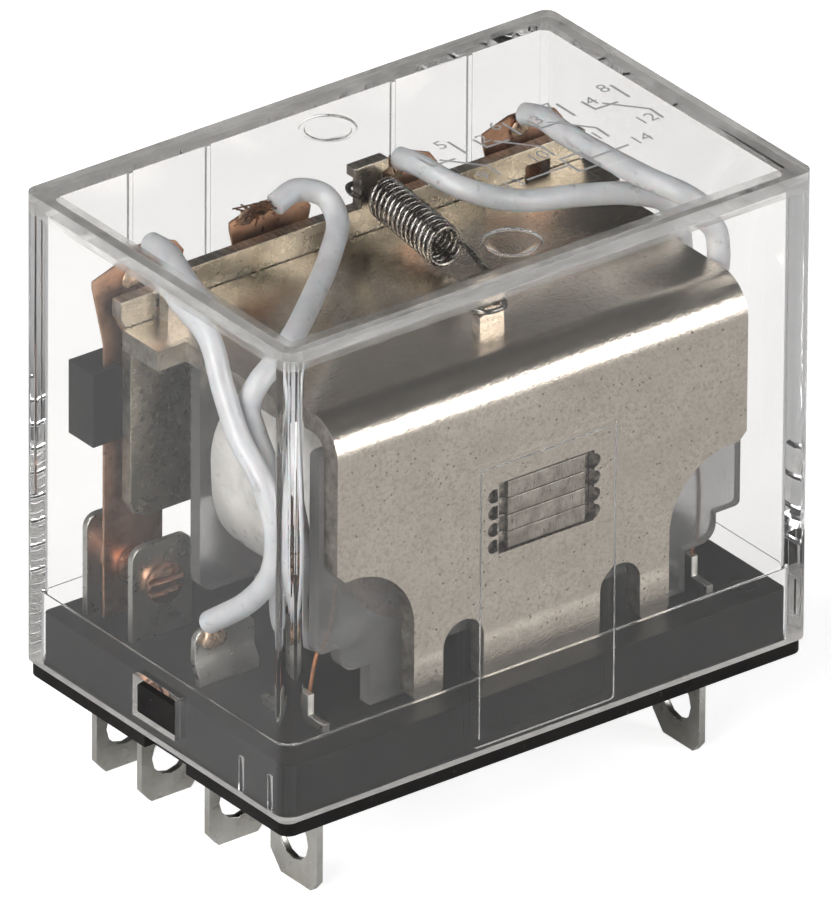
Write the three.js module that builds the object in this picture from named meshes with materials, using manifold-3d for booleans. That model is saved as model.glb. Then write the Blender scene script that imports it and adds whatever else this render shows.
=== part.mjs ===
// Four-pole plug-in control relay with a clear dust cover.
// Millimetres, +Z up. X runs along the long side and Y along the short side, with the coil terminals
// towards -Y and the contacts towards +Y. The origin is the centre of the base's underside, so the
// plug-in blades reach below z = 0.

import * as THREE from "three";
import { mergeVertices } from "three/addons/utils/BufferGeometryUtils.js";
import Module from "manifold-3d";

const wasm = await Module();
wasm.setup();

// ---------------------------------------------------------------- driving dimensions

const COVER_LENGTH = 41.5;
const COVER_WIDTH = 27.5;
const COVER_TOP = 34.5;
const COVER_BOTTOM = 1.05;
const COVER_CORNER = 0.8;
const UPPER_WALL = 1.3;
const SKIRT_WALL = 1.05;
const SKIRT_TOP = 6.2;
const RIB_HEIGHT = 0.14;

const FLANGE_INSET = 0.2;
const PLATFORM_LENGTH = 39.0;
const PLATFORM_WIDTH = 25.1;
const PLATFORM_TOP = 4.7;
const CATCH_TOP = 4.88;
const CATCH_HALF = 1.95;
const SLOT_GAP = 0.06;

const POLE_X = [-15, -5, 5, 15];
const BLADE_TIP = -7.25;
const BLADE_WIDTH = 4.7;
const SHEET = 0.5;
const BLADE_HOLE_Z = -4.2;
const BLADE_HOLE_RADIUS = 1.5;
const NC_Y = 10.6;
const NO_Y = 5.8;
const COM_Y = -1.3;
const NC_TOP = 11.6;
const NO_TOP = 11.25;
const COM_TOP = 8.3;
const COIL_TERMINAL_X = 15.2;
const COIL_BLADE_Y = [-10.05, -5.2];

const CONTACT_Z = 8.4;
const CONTACT_RADIUS = 1.42;
const SHANK_RADIUS = 0.75;
const HEAD_HEIGHT = 0.7;
const FACE_GAP = 0.02;

const STRIP_Y = 8.85;
const STRIP_SHEET = 0.2;
const STRIP_BOTTOM = 5.1;
const STRIP_HALF = 2.3;
const STRIP_FLARE_HALF = 3.2;
const STRIP_TOP = 30.1;

const MAGNET_X = 1.45;
const YOKE_SHEET = 1.4;
const YOKE_FRONT = -10.5;
const YOKE_REAR = 7.3;
const YOKE_TOP = 26.3;
const YOKE_BEND = 2.6;
const YOKE_HALF = 16.2;
const EAR_LEFT = -17.0;
const EAR_RIGHT = 18.8;
const EAR_FRONT = 3.7;

const CORE_LOW = 13.3;
const LAMINATION_PITCH = 1.2;
const LAMINATION_SHEET = 1.17;
const CORE_HALF = 9.8;
const TENON_X = [-2.0, 5.45];
const CORE_REAR = 6.48;

const STAKE_X = [-2.4, 5.5];
const STAKE_RADIUS = 0.5;
const STACK_RECESS = 0.18;
const STAKE_DEPTH = 0.55;
const STAKE_GROOVES = [[-1.86, -1.18], [4.95, 5.6]];

const PIVOT_TAB_X = [-13.3, 15.1];
const ARMATURE_FRONT = 7.4;
const ARMATURE_SHEET = 0.95;
const ARMATURE_LEFT = -16.3;
const ARMATURE_RIGHT = 18.1;
const ARMATURE_BOTTOM = 12.4;
const ARMATURE_TOP = 28.2;
const SPRING_TAB_X = 1.9;

const SPRING_X = 2.25;
const SPRING_RADIUS = 1.22;
const SPRING_WIRE = 0.34;
const SPRING_TURNS = 14;
const LEAD_RADIUS = 0.75;

// ---------------------------------------------------------------- materials

const METALS = {
  nickel: [0xb5aca0, 0.32, 1.0],
  steel: [0x8e8a84, 0.4, 1.0],
  tin: [0xb9b7b0, 0.35, 1.0],
  copper: [0xb0714e, 0.35, 1.0],
  bronze: [0xa8775a, 0.4, 1.0],
  spring: [0x4c4a47, 0.3, 1.0],
};
const PLASTICS = {
  black: [0x232120, 0.5, 0.0],
  natural: [0xd9d6cf, 0.35, 0.0],
  silicone: [0xdadbdc, 0.5, 0.0],
  tape: [0xf0efec, 0.45, 0.0],
};

function material(name) {
  const [color, roughness, metalness] = METALS[name] ?? PLASTICS[name];
  return new THREE.MeshStandardMaterial({ name, color, roughness, metalness });
}

function clearPlastic() {
  const plastic = new THREE.MeshStandardMaterial({ name: "clear", color: 0xf2f4f4, roughness: 0.08 });
  plastic.transparent = true;
  plastic.opacity = 0.25;
  return plastic;
}

// ---------------------------------------------------------------- solids from three.js geometry

function toSolid(geometry) {
  const bare = geometry.clone();
  bare.deleteAttribute("normal");
  bare.deleteAttribute("uv");
  const welded = mergeVertices(bare, 1e-5);
  const mesh = new wasm.Mesh({
    numProp: 3,
    vertProperties: Float32Array.from(welded.attributes.position.array),
    triVerts: Uint32Array.from(welded.index.array),
  });
  return new wasm.Manifold(mesh);
}

function toGeometry(solid) {
  const mesh = solid.getMesh();
  const geometry = new THREE.BufferGeometry();
  geometry.setAttribute("position", new THREE.BufferAttribute(mesh.vertProperties, 3));
  geometry.setIndex(new THREE.BufferAttribute(mesh.triVerts, 1));
  geometry.computeVertexNormals();
  return geometry;
}

function box(x, y, z) {
  const block = new THREE.BoxGeometry(x[1] - x[0], y[1] - y[0], z[1] - z[0]);
  block.translate((x[0] + x[1]) / 2, (y[0] + y[1]) / 2, (z[0] + z[1]) / 2);
  return toSolid(block);
}

function extrude(shape, depth, basis, curveSegments) {
  const geometry = new THREE.ExtrudeGeometry(shape, { depth, bevelEnabled: false, curveSegments });
  geometry.applyMatrix4(basis);
  return toSolid(geometry);
}

// A shape drawn in (x, z), filling y from `y[0]` to `y[1]`.
function frontPlate(shape, y, curveSegments = 6) {
  const basis = new THREE.Matrix4().makeBasis(
    new THREE.Vector3(1, 0, 0),
    new THREE.Vector3(0, 0, 1),
    new THREE.Vector3(0, -1, 0),
  );
  basis.setPosition(0, y[1], 0);
  return extrude(shape, y[1] - y[0], basis, curveSegments);
}

// A shape drawn in (y, z), filling x from `x[0]` to `x[1]`.
function sidePlate(shape, x, curveSegments = 6) {
  const basis = new THREE.Matrix4().makeBasis(
    new THREE.Vector3(0, 1, 0),
    new THREE.Vector3(0, 0, 1),
    new THREE.Vector3(1, 0, 0),
  );
  basis.setPosition(x[0], 0, 0);
  return extrude(shape, x[1] - x[0], basis, curveSegments);
}

// A shape drawn in (x, y), filling z from `z[0]` to `z[1]`.
function flatPlate(shape, z, curveSegments = 6) {
  const basis = new THREE.Matrix4().makeTranslation(0, 0, z[0]);
  return extrude(shape, z[1] - z[0], basis, curveSegments);
}

// A disc about Z, filling z from `z[0]` to `z[1]`.
function disc(x, y, radius, z) {
  const cylinder = new THREE.CylinderGeometry(radius, radius, z[1] - z[0], 24);
  cylinder.rotateX(Math.PI / 2);
  cylinder.translate(x, y, (z[0] + z[1]) / 2);
  return toSolid(cylinder);
}

function polygon(points) {
  return new THREE.Shape(points.map(([a, b]) => new THREE.Vector2(a, b)));
}

function roundedRectangle(low, high, radius) {
  const [x0, y0] = low;
  const [x1, y1] = high;
  const shape = new THREE.Shape();
  shape.moveTo(x0 + radius, y0);
  shape.lineTo(x1 - radius, y0);
  shape.absarc(x1 - radius, y0 + radius, radius, -Math.PI / 2, 0);
  shape.lineTo(x1, y1 - radius);
  shape.absarc(x1 - radius, y1 - radius, radius, 0, Math.PI / 2);
  shape.lineTo(x0 + radius, y1);
  shape.absarc(x0 + radius, y1 - radius, radius, Math.PI / 2, Math.PI);
  shape.lineTo(x0, y0 + radius);
  shape.absarc(x0 + radius, y0 + radius, radius, Math.PI, 1.5 * Math.PI);
  return shape;
}

function centredRectangle(x, z, halfX, halfZ, radius) {
  return roundedRectangle([x - halfX, z - halfZ], [x + halfX, z + halfZ], radius);
}

// A rod along Y.
function rod(x, z, radius, y, sides = 14) {
  const cylinder = new THREE.CylinderGeometry(radius, radius, y[1] - y[0], sides);
  cylinder.translate(x, (y[0] + y[1]) / 2, z);
  return toSolid(cylinder);
}

function joined(first, ...others) {
  return others.reduce((whole, piece) => whole.add(piece), first);
}

const relay = new THREE.Group();

function addPart(name, geometry, look) {
  const mesh = new THREE.Mesh(geometry, look);
  mesh.name = name;
  relay.add(mesh);
}

function addSolid(name, solid, look) {
  addPart(name, toGeometry(solid), look);
}

// ---------------------------------------------------------------- base

function catchBlock(side) {
  // A block that snaps into the cover's window. Its upper edge slopes, so that the cover can slide down
  // over it, and one upper corner is cut off.
  const root = PLATFORM_LENGTH / 2 - 0.3;
  const nose = COVER_LENGTH / 2 - 0.15;
  const slope = polygon([
    [root * side, 2.3],
    [nose * side, 2.3],
    [nose * side, 4.4],
    [(nose - 0.4) * side, CATCH_TOP],
    [root * side, CATCH_TOP],
  ]);
  const face = polygon([
    [-CATCH_HALF, 2.2],
    [CATCH_HALF, 2.2],
    [CATCH_HALF, CATCH_TOP - 0.65],
    [CATCH_HALF - 0.75, CATCH_TOP + 0.1],
    [-CATCH_HALF, CATCH_TOP + 0.1],
  ]);
  return frontPlate(slope, [-3, 3]).intersect(sidePlate(face, side < 0 ? [-22, 0] : [0, 22]));
}

function base() {
  const flange = roundedRectangle(
    [-COVER_LENGTH / 2 + FLANGE_INSET, -COVER_WIDTH / 2 + FLANGE_INSET],
    [COVER_LENGTH / 2 - FLANGE_INSET, COVER_WIDTH / 2 - FLANGE_INSET],
    COVER_CORNER,
  );
  const platform = roundedRectangle(
    [-PLATFORM_LENGTH / 2, -PLATFORM_WIDTH / 2],
    [PLATFORM_LENGTH / 2, PLATFORM_WIDTH / 2],
    0.4,
  );
  let solid = joined(
    flatPlate(flange, [0, COVER_BOTTOM - FACE_GAP], 4),
    flatPlate(platform, [0.5, PLATFORM_TOP], 3),
    catchBlock(-1),
    catchBlock(1),
  );
  const bottomToTop = [-1, PLATFORM_TOP + 1];
  for (const y of [NC_Y, NO_Y, COM_Y]) {
    for (const x of POLE_X) {
      const half = BLADE_WIDTH / 2 + SLOT_GAP;
      solid = solid.subtract(box([x - half, x + half], [y - SLOT_GAP, y + SHEET + SLOT_GAP], bottomToTop));
    }
  }
  const half = SHEET / 2 + SLOT_GAP;
  const coilSlotY = [COIL_BLADE_Y[0] - SLOT_GAP, COIL_BLADE_Y[1] + SLOT_GAP];
  for (const x of [-COIL_TERMINAL_X, COIL_TERMINAL_X]) {
    solid = solid.subtract(box([x - half, x + half], coilSlotY, bottomToTop));
  }
  for (const x of yokeTenonCentres()) {
    const socketX = [x - 0.65 - SLOT_GAP, x + 0.65 + SLOT_GAP];
    const socketY = [YOKE_FRONT - SLOT_GAP, YOKE_FRONT + YOKE_SHEET + SLOT_GAP];
    solid = solid.subtract(box(socketX, socketY, [2.4, PLATFORM_TOP + 1]));
  }
  // A moulding gate's ring mark near the front right corner.
  const ring = disc(17.5, -10.7, 0.95, [PLATFORM_TOP - 0.12, PLATFORM_TOP + 0.5]);
  solid = solid.subtract(ring.subtract(disc(17.5, -10.7, 0.75, [PLATFORM_TOP - 1, PLATFORM_TOP + 1])));
  // Thumb notches in the flange below both windows give a screwdriver room to free the cover.
  for (const side of [-1, 1]) {
    const outer = (COVER_LENGTH / 2 + 1) * side;
    const inner = (COVER_LENGTH / 2 - 0.95) * side;
    const notchX = [Math.min(outer, inner), Math.max(outer, inner)];
    solid = solid.subtract(box(notchX, [-3.1, 1.2], [-1, COVER_BOTTOM - FACE_GAP + 0.01]));
  }
  return solid;
}

// ---------------------------------------------------------------- cover

function cover() {
  const halfX = COVER_LENGTH / 2;
  const halfY = COVER_WIDTH / 2;
  const outer = centredRectangle(0, 0, halfX, halfY, COVER_CORNER);
  const upper = centredRectangle(0, 0, halfX - UPPER_WALL, halfY - UPPER_WALL, 0.6);
  const skirt = centredRectangle(0, 0, halfX - SKIRT_WALL, halfY - SKIRT_WALL, 0.6);
  let solid = flatPlate(outer, [COVER_BOTTOM, COVER_TOP], 4);
  solid = solid.subtract(flatPlate(upper, [COVER_BOTTOM - 1, COVER_TOP - UPPER_WALL], 3));
  solid = solid.subtract(flatPlate(skirt, [COVER_BOTTOM - 1, SKIRT_TOP], 3));
  for (const side of [-1, 1]) {
    const windowX = [Math.min(side * 19, side * 22), Math.max(side * 19, side * 22)];
    solid = solid.subtract(box(windowX, [-2.2, 2.2], [2.05, 4.95]));
  }
  // Ring-shaped marks in the top, one with a small boss in its middle.
  for (const [y, outerRadius, innerRadius] of [[-10.1, 1.95, 1.6], [9.0, 1.85, 1.5]]) {
    solid = solid.subtract(disc(-0.4, y, outerRadius, [COVER_TOP - 0.14, COVER_TOP + 0.1]));
    solid = solid.add(disc(-0.4, y, innerRadius, [COVER_TOP - 0.16, COVER_TOP - 0.06]));
  }
  // A framed panel on the front wall, drawn by a shallow groove.
  const frame = roundedRectangle([-5.9, 1.7], [5.2, 21.8], 0.3);
  frame.holes.push(roundedRectangle([-5.45, 2.15], [4.75, 21.35], 0.15));
  solid = solid.subtract(frontPlate(frame, [-halfY - 1, -halfY + 0.12], 3));
  // Low ribs inside both end walls take up the slack against the base.
  for (const side of [-1, 1]) {
    const foot = side * (halfX - SKIRT_WALL + 0.2);
    const crest = side * (halfX - SKIRT_WALL - RIB_HEIGHT);
    for (const y of [-11.5, -8.5]) {
      const ribX = [Math.min(foot, crest), Math.max(foot, crest)];
      solid = solid.add(box(ribX, [y - 0.2, y + 0.2], [COVER_BOTTOM, 3.6]));
    }
  }
  // Slender upright ribs inside the rear wall.
  for (const x of [-13.4, -7.3, 7.3, 13.4]) {
    solid = solid.add(box([x - 0.18, x + 0.18], [halfY - UPPER_WALL - 0.16, halfY - 0.5], [8, COVER_TOP - 1]));
  }
  return solid;
}

// ---------------------------------------------------------------- terminals

function contactTerminalOutline(x, top) {
  const half = BLADE_WIDTH / 2;
  const shape = new THREE.Shape();
  shape.moveTo(x - half + 0.8, BLADE_TIP);
  shape.lineTo(x + half - 0.8, BLADE_TIP);
  shape.lineTo(x + half, BLADE_TIP + 0.95);
  shape.lineTo(x + half, top - 0.9);
  shape.absarc(x + half - 0.9, top - 0.9, 0.9, 0, Math.PI / 2);
  shape.lineTo(x - half + 0.9, top);
  shape.absarc(x - half + 0.9, top - 0.9, 0.9, Math.PI / 2, Math.PI);
  shape.lineTo(x - half, BLADE_TIP + 0.95);
  const hole = new THREE.Path();
  hole.absarc(x, BLADE_HOLE_Z, BLADE_HOLE_RADIUS, 0, 2 * Math.PI);
  shape.holes.push(hole);
  return shape;
}

function fixedTerminal(x, y, top) {
  const plate = frontPlate(contactTerminalOutline(x, top), [y, y + SHEET], 6);
  return plate.subtract(rod(x, CONTACT_Z, SHANK_RADIUS + 0.05, [y - 1, y + SHEET + 1], 12));
}

function commonTerminal(x) {
  // Straight through the base, then joggled back by one sheet thickness.
  const front = COM_Y;
  const back = COM_Y + SHEET;
  const profile = polygon([
    [front, BLADE_TIP - 1],
    [back, BLADE_TIP - 1],
    [back, PLATFORM_TOP + 0.4],
    [back + SHEET, PLATFORM_TOP + 1.2],
    [back + SHEET, COM_TOP + 1],
    [front + SHEET, COM_TOP + 1],
    [front + SHEET, PLATFORM_TOP + 1.4],
    [front, PLATFORM_TOP + 0.6],
  ]);
  const half = BLADE_WIDTH / 2 + 1;
  const strip = sidePlate(profile, [x - half, x + half]);
  return strip.intersect(frontPlate(contactTerminalOutline(x, COM_TOP), [COM_Y - 1, COM_Y + 3], 6));
}

function coilTerminal(x) {
  const [front, rear] = COIL_BLADE_Y;
  const shape = polygon([
    [front + 0.65, BLADE_TIP],
    [rear - 1.1, BLADE_TIP],
    [rear, BLADE_TIP + 1.3],
    [rear, PLATFORM_TOP + 0.5],
    [rear - 1.6, PLATFORM_TOP + 0.5],
    [rear - 1.6, 6.6],
    [front + 1.6, 6.6],
    [front + 1.6, PLATFORM_TOP + 0.5],
    [front, PLATFORM_TOP + 0.5],
    [front, BLADE_TIP + 0.77],
  ]);
  const hole = new THREE.Path();
  hole.absarc((front + rear) / 2, BLADE_HOLE_Z, BLADE_HOLE_RADIUS, 0, 2 * Math.PI);
  shape.holes.push(hole);
  return sidePlate(shape, [x - SHEET / 2, x + SHEET / 2], 6);
}

// ---------------------------------------------------------------- contacts

// A rivet turned about Y. `crown` is the domed contact side and `tail` the flatter, peened side.
function contactRivet(x, crownFace, tailFace) {
  const out = Math.sign(crownFace - tailFace);
  const crownTop = crownFace + out * HEAD_HEIGHT;
  const tailEnd = tailFace - out * HEAD_HEIGHT;
  const profile = [
    [0, crownTop],
    [CONTACT_RADIUS * 0.62, crownTop - out * 0.12],
    [CONTACT_RADIUS, crownTop - out * 0.42],
    [CONTACT_RADIUS, crownFace + out * FACE_GAP],
    [SHANK_RADIUS, crownFace + out * FACE_GAP],
    [SHANK_RADIUS, tailFace - out * FACE_GAP],
    [CONTACT_RADIUS, tailFace - out * FACE_GAP],
    [CONTACT_RADIUS, tailEnd + out * 0.3],
    [CONTACT_RADIUS * 0.7, tailEnd],
    [0, tailEnd],
  ];
  if (out > 0) {
    profile.reverse();
  }
  const geometry = new THREE.LatheGeometry(profile.map(([r, y]) => new THREE.Vector2(r, y)), 14);
  geometry.translate(x, 0, CONTACT_Z);
  return toSolid(geometry);
}

function movingStrip(x) {
  const shape = polygon([
    [x - STRIP_HALF, STRIP_BOTTOM],
    [x + STRIP_HALF, STRIP_BOTTOM],
    [x + STRIP_HALF, 24.6],
    [x + STRIP_FLARE_HALF, 28.7],
    [x + STRIP_FLARE_HALF - 0.6, STRIP_TOP - 0.6],
    [x + 1.1, STRIP_TOP],
    [x - 1.1, STRIP_TOP],
    [x - STRIP_FLARE_HALF, STRIP_TOP - 0.7],
    [x - STRIP_FLARE_HALF, 28.9],
    [x - STRIP_HALF, 24.6],
  ]);
  const hole = new THREE.Path();
  hole.absarc(x, CONTACT_Z, SHANK_RADIUS + 0.05, 0, 2 * Math.PI);
  shape.holes.push(hole);
  return frontPlate(shape, [STRIP_Y, STRIP_Y + STRIP_SHEET], 6);
}

// ---------------------------------------------------------------- contact carrier and its rivets

const CARRIER_Y = [ARMATURE_FRONT + ARMATURE_SHEET + 0.05, 11.0];
const CARRIER_Z = [17.9, 23.1];
const CARRIER_RIVET_Z = 20.5;
const CARRIER_RIVET_X = [-10, 10];

function contactCarrier() {
  let solid = box([-18.5, 18.5], CARRIER_Y, CARRIER_Z);
  for (const x of POLE_X) {
    const slotX = [x - STRIP_HALF - 0.05, x + STRIP_HALF + 0.05];
    const slotY = [STRIP_Y - 0.05, STRIP_Y + STRIP_SHEET + 0.05];
    solid = solid.subtract(box(slotX, slotY, [CARRIER_Z[0] - 1, CARRIER_Z[1] + 1]));
  }
  // A groove along the back between the poles saves material and keeps the walls even.
  for (const x of [-10, 0, 10]) {
    solid = solid.subtract(box([x - 1.6, x + 1.6], [10.2, 12], [CARRIER_Z[0] - 1, 19.0]));
    solid = solid.subtract(box([x - 1.6, x + 1.6], [10.2, 12], [22.0, CARRIER_Z[1] + 1]));
  }
  for (const x of CARRIER_RIVET_X) {
    solid = solid.subtract(rod(x, CARRIER_RIVET_Z, 0.75, [CARRIER_Y[0] - 1, CARRIER_Y[1] + 1], 12));
  }
  return solid;
}

function carrierRivet(x) {
  const frontFace = ARMATURE_FRONT - FACE_GAP;
  const backFace = CARRIER_Y[1] + FACE_GAP;
  const profile = [
    [0, frontFace - 0.45],
    [1.0, frontFace - 0.35],
    [1.25, frontFace],
    [0.7, frontFace],
    [0.7, backFace],
    [1.25, backFace],
    [1.0, backFace + 0.35],
    [0, backFace + 0.45],
  ];
  const geometry = new THREE.LatheGeometry(profile.map(([r, y]) => new THREE.Vector2(r, y)), 12);
  geometry.translate(x, 0, CARRIER_RIVET_Z);
  return toSolid(geometry);
}

// ---------------------------------------------------------------- yoke

function yokeTenonCentres() {
  return [MAGNET_X - 8.95, MAGNET_X + 8.95];
}

function yokeFrontOutline() {
  // The right half seen from the front, reaching a little past the middle: a leg and half the middle
  // tongue below a wide plate, with a round arch between them.
  const side = YOKE_HALF;
  const legOuter = 10.1;
  const legInner = 7.8;
  const tongue = 4.6;
  const foot = PLATFORM_TOP + 0.05;
  const archRadius = (legInner - tongue) / 2;
  const archCentre = (legInner + tongue) / 2;
  const shoulderRadius = 4.9;
  const shoulder = 15.15;
  const top = YOKE_TOP + 1;
  const right = new THREE.Shape();
  right.moveTo(MAGNET_X - 0.5, foot);
  right.lineTo(MAGNET_X + tongue, foot);
  right.lineTo(MAGNET_X + tongue, 7.85);
  right.absarc(MAGNET_X + archCentre, 7.85, archRadius, Math.PI, 0, true);
  right.lineTo(MAGNET_X + legInner, foot + 0.4);
  right.lineTo(MAGNET_X + legInner + 0.4, foot);
  right.lineTo(MAGNET_X + 8.3, foot);
  right.lineTo(MAGNET_X + 8.3, 2.6);
  right.lineTo(MAGNET_X + 9.6, 2.6);
  right.lineTo(MAGNET_X + 9.6, foot);
  right.lineTo(MAGNET_X + legOuter - 0.4, foot);
  right.lineTo(MAGNET_X + legOuter, foot + 0.4);
  right.lineTo(MAGNET_X + legOuter, shoulder - shoulderRadius);
  const shoulderX = MAGNET_X + legOuter + shoulderRadius;
  right.absarc(shoulderX, shoulder - shoulderRadius, shoulderRadius, Math.PI, Math.PI / 2, true);
  right.lineTo(MAGNET_X + side - 0.6, shoulder);
  right.lineTo(MAGNET_X + side, shoulder + 0.6);
  right.lineTo(MAGNET_X + side, YOKE_TOP - YOKE_SHEET - 1.2);
  right.lineTo(MAGNET_X + side + 5, YOKE_TOP - YOKE_SHEET - 0.2);
  right.lineTo(MAGNET_X + side + 5, top);
  right.lineTo(MAGNET_X - 0.5, top);
  return right;
}

function mirroredAbout(solid, x) {
  return solid.mirror([1, 0, 0]).translate([2 * x, 0, 0]);
}

function yokeProfile() {
  // Seen from the side: the front plate bent over into the top plate.
  const back = YOKE_FRONT + YOKE_SHEET;
  const under = YOKE_TOP - YOKE_SHEET;
  const inner = YOKE_BEND - YOKE_SHEET;
  const shape = new THREE.Shape();
  shape.moveTo(YOKE_FRONT, 0);
  shape.lineTo(back, 0);
  shape.lineTo(back, under - inner);
  shape.absarc(back + inner, under - inner, inner, Math.PI, Math.PI / 2, true);
  shape.lineTo(YOKE_REAR, under);
  shape.lineTo(YOKE_REAR, YOKE_TOP);
  shape.lineTo(YOKE_FRONT + YOKE_BEND, YOKE_TOP);
  shape.absarc(YOKE_FRONT + YOKE_BEND, YOKE_TOP - YOKE_BEND, YOKE_BEND, Math.PI / 2, Math.PI);
  return shape;
}

function yokePlan() {
  const left = MAGNET_X - YOKE_HALF;
  const right = MAGNET_X + YOKE_HALF;
  return polygon([
    [left, YOKE_FRONT - 1],
    [right, YOKE_FRONT - 1],
    [right, EAR_FRONT - 0.5],
    [EAR_RIGHT, EAR_FRONT],
    [EAR_RIGHT, YOKE_REAR + 1],
    [EAR_LEFT, YOKE_REAR + 1],
    [EAR_LEFT, EAR_FRONT],
    [left, EAR_FRONT],
  ]);
}

function yoke() {
  const bent = sidePlate(yokeProfile(), [EAR_LEFT - 1, EAR_RIGHT + 1], 14);
  const halfFront = frontPlate(yokeFrontOutline(), [YOKE_FRONT - 1, YOKE_REAR + 1], 8);
  const front = halfFront.add(mirroredAbout(halfFront, MAGNET_X));
  const plan = flatPlate(yokePlan(), [-1, YOKE_TOP + 1]);
  let solid = bent.intersect(front).intersect(plan);
  const holeX = [TENON_X[0] - 0.05, TENON_X[1] + 0.05];
  const holeZ = [CORE_LOW - 0.05, CORE_LOW + 4 * LAMINATION_PITCH + 0.2];
  solid = solid.subtract(box(holeX, [YOKE_FRONT - 1, YOKE_FRONT + YOKE_SHEET + 1], holeZ));
  // Staking dimples beside each lamination's end lock the core into the yoke.
  for (const x of STAKE_X) {
    for (let i = 0; i < 4; i += 1) {
      const z = CORE_LOW + (i + 0.5) * LAMINATION_PITCH;
      solid = solid.subtract(rod(x, z, STAKE_RADIUS, [YOKE_FRONT - 1, YOKE_FRONT + STAKE_DEPTH], 12));
    }
  }
  const top = [YOKE_TOP - 0.5, YOKE_TOP];
  // Tabs that reach through the armature's slots and keep it on its edge.
  for (const x of PIVOT_TAB_X) {
    solid = solid.add(box([x - 0.75, x + 0.75], [YOKE_REAR - 0.5, 8.7], [YOKE_TOP - 1.2, YOKE_TOP - 0.2]));
  }
  // Upright stop lug beside the left tab.
  solid = solid.add(box([-14.2, -12.5], [6.3, YOKE_REAR - 0.05], [top[0], 27.9]));
  // Upturned post for the front hook of the return spring, with a waist that holds the hook.
  const post = polygon([
    [0.35, top[0]],
    [2.25, top[0]],
    [2.25, 27.0],
    [1.9, 27.25],
    [1.9, 27.85],
    [2.25, 28.15],
    [2.25, 28.6],
    [0.35, 28.6],
    [0.35, 28.15],
    [0.7, 27.85],
    [0.7, 27.25],
    [0.35, 27.0],
  ]);
  return solid.add(frontPlate(post, [-5.3, -4.5]));
}

// ---------------------------------------------------------------- core, shading ring, bobbin, winding

const SHADING_SLOT_X = [-1.6, -0.8];

function lamination(index) {
  const low = CORE_LOW + index * LAMINATION_PITCH + 0.015;
  const shoulder = YOKE_FRONT + YOKE_SHEET + 0.05;
  const outline = polygon([
    [TENON_X[0], YOKE_FRONT + STACK_RECESS],
    [TENON_X[1], YOKE_FRONT + STACK_RECESS],
    [TENON_X[1], shoulder],
    [MAGNET_X + CORE_HALF, shoulder],
    [MAGNET_X + CORE_HALF, CORE_REAR],
    [SHADING_SLOT_X[1], CORE_REAR],
    [SHADING_SLOT_X[1], CORE_REAR - 1],
    [SHADING_SLOT_X[0], CORE_REAR - 1],
    [SHADING_SLOT_X[0], CORE_REAR],
    [MAGNET_X - CORE_HALF, CORE_REAR],
    [MAGNET_X - CORE_HALF, shoulder],
    [TENON_X[0], shoulder],
  ]);
  let solid = flatPlate(outline, [low, low + LAMINATION_SHEET]);
  // Upright chisel grooves near both ends of the staked face.
  for (const grooveX of STAKE_GROOVES) {
    solid = solid.subtract(box(grooveX, [YOKE_FRONT - 1, YOKE_FRONT + STAKE_DEPTH], [low - 1, low + 3]));
  }
  return solid;
}

const COIL_MIDDLE = 16.04;
const BORE_HALF_HEIGHT = 2.8;

function shadingRing() {
  const left = MAGNET_X - CORE_HALF - 0.05;
  const low = CORE_LOW - 0.05;
  const high = CORE_LOW + 4 * LAMINATION_PITCH + 0.05;
  const shape = roundedRectangle([left - 0.6, low - 0.6], [SHADING_SLOT_X[1] - 0.1, high + 0.6], 0.3);
  const hole = roundedRectangle([left, low], [SHADING_SLOT_X[0] + 0.1, high], 0.05);
  shape.holes.push(hole);
  return frontPlate(shape, [CORE_REAR - 0.9, CORE_REAR - 0.15], 2);
}

const BOBBIN_REAR = 5.0;
const FLANGE_SHEET = 1.0;
const FLANGE_TOP = 24.5;
const FRONT_FLANGE_TOP = 23.8;
const FLANGE_BOTTOM = 7.7;
const WINDING_Y = [YOKE_FRONT + YOKE_SHEET + 0.05 + FLANGE_SHEET + 0.05, BOBBIN_REAR - FLANGE_SHEET - 0.05];

function bobbin() {
  const front = YOKE_FRONT + YOKE_SHEET + 0.05;
  const frontFlangeY = [front, front + FLANGE_SHEET];
  const rearFlangeY = [BOBBIN_REAR - FLANGE_SHEET, BOBBIN_REAR];
  const [left, right] = [MAGNET_X - 14.85, MAGNET_X + 14.95];
  const narrow = roundedRectangle([left, FLANGE_BOTTOM], [right, FLANGE_TOP], 1.2);
  const frontNarrow = roundedRectangle([left, FLANGE_BOTTOM], [right, FRONT_FLANGE_TOP], 1.2);
  const wide = roundedRectangle([MAGNET_X - 16.55, 9.6], [MAGNET_X + 16.85, FRONT_FLANGE_TOP], 0.4);
  const tube = centredRectangle(MAGNET_X, COIL_MIDDLE, CORE_HALF + 0.9, BORE_HALF_HEIGHT + 0.85, 0.8);
  const bore = centredRectangle(MAGNET_X, COIL_MIDDLE, CORE_HALF + 0.06, BORE_HALF_HEIGHT, 0.02);
  const solid = joined(
    frontPlate(wide, frontFlangeY, 3),
    frontPlate(frontNarrow, frontFlangeY, 4),
    frontPlate(narrow, rearFlangeY, 4),
    frontPlate(tube, [front, BOBBIN_REAR], 3),
    box([MAGNET_X - 12.5, MAGNET_X - 9.5], frontFlangeY, [PLATFORM_TOP + 0.05, FLANGE_BOTTOM + 0.2]),
    box([MAGNET_X + 9.5, MAGNET_X + 12.5], frontFlangeY, [PLATFORM_TOP + 0.05, FLANGE_BOTTOM + 0.2]),
  );
  return solid.subtract(frontPlate(bore, [front - 1, BOBBIN_REAR + 1], 1));
}

function windingRing(halfX, halfZ, radius, boreGrow, y) {
  const outer = centredRectangle(MAGNET_X, COIL_MIDDLE, halfX, halfZ, radius);
  const bore = centredRectangle(MAGNET_X, COIL_MIDDLE, boreGrow[0], boreGrow[1], boreGrow[2]);
  outer.holes.push(bore);
  return frontPlate(outer, y, 6);
}

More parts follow.
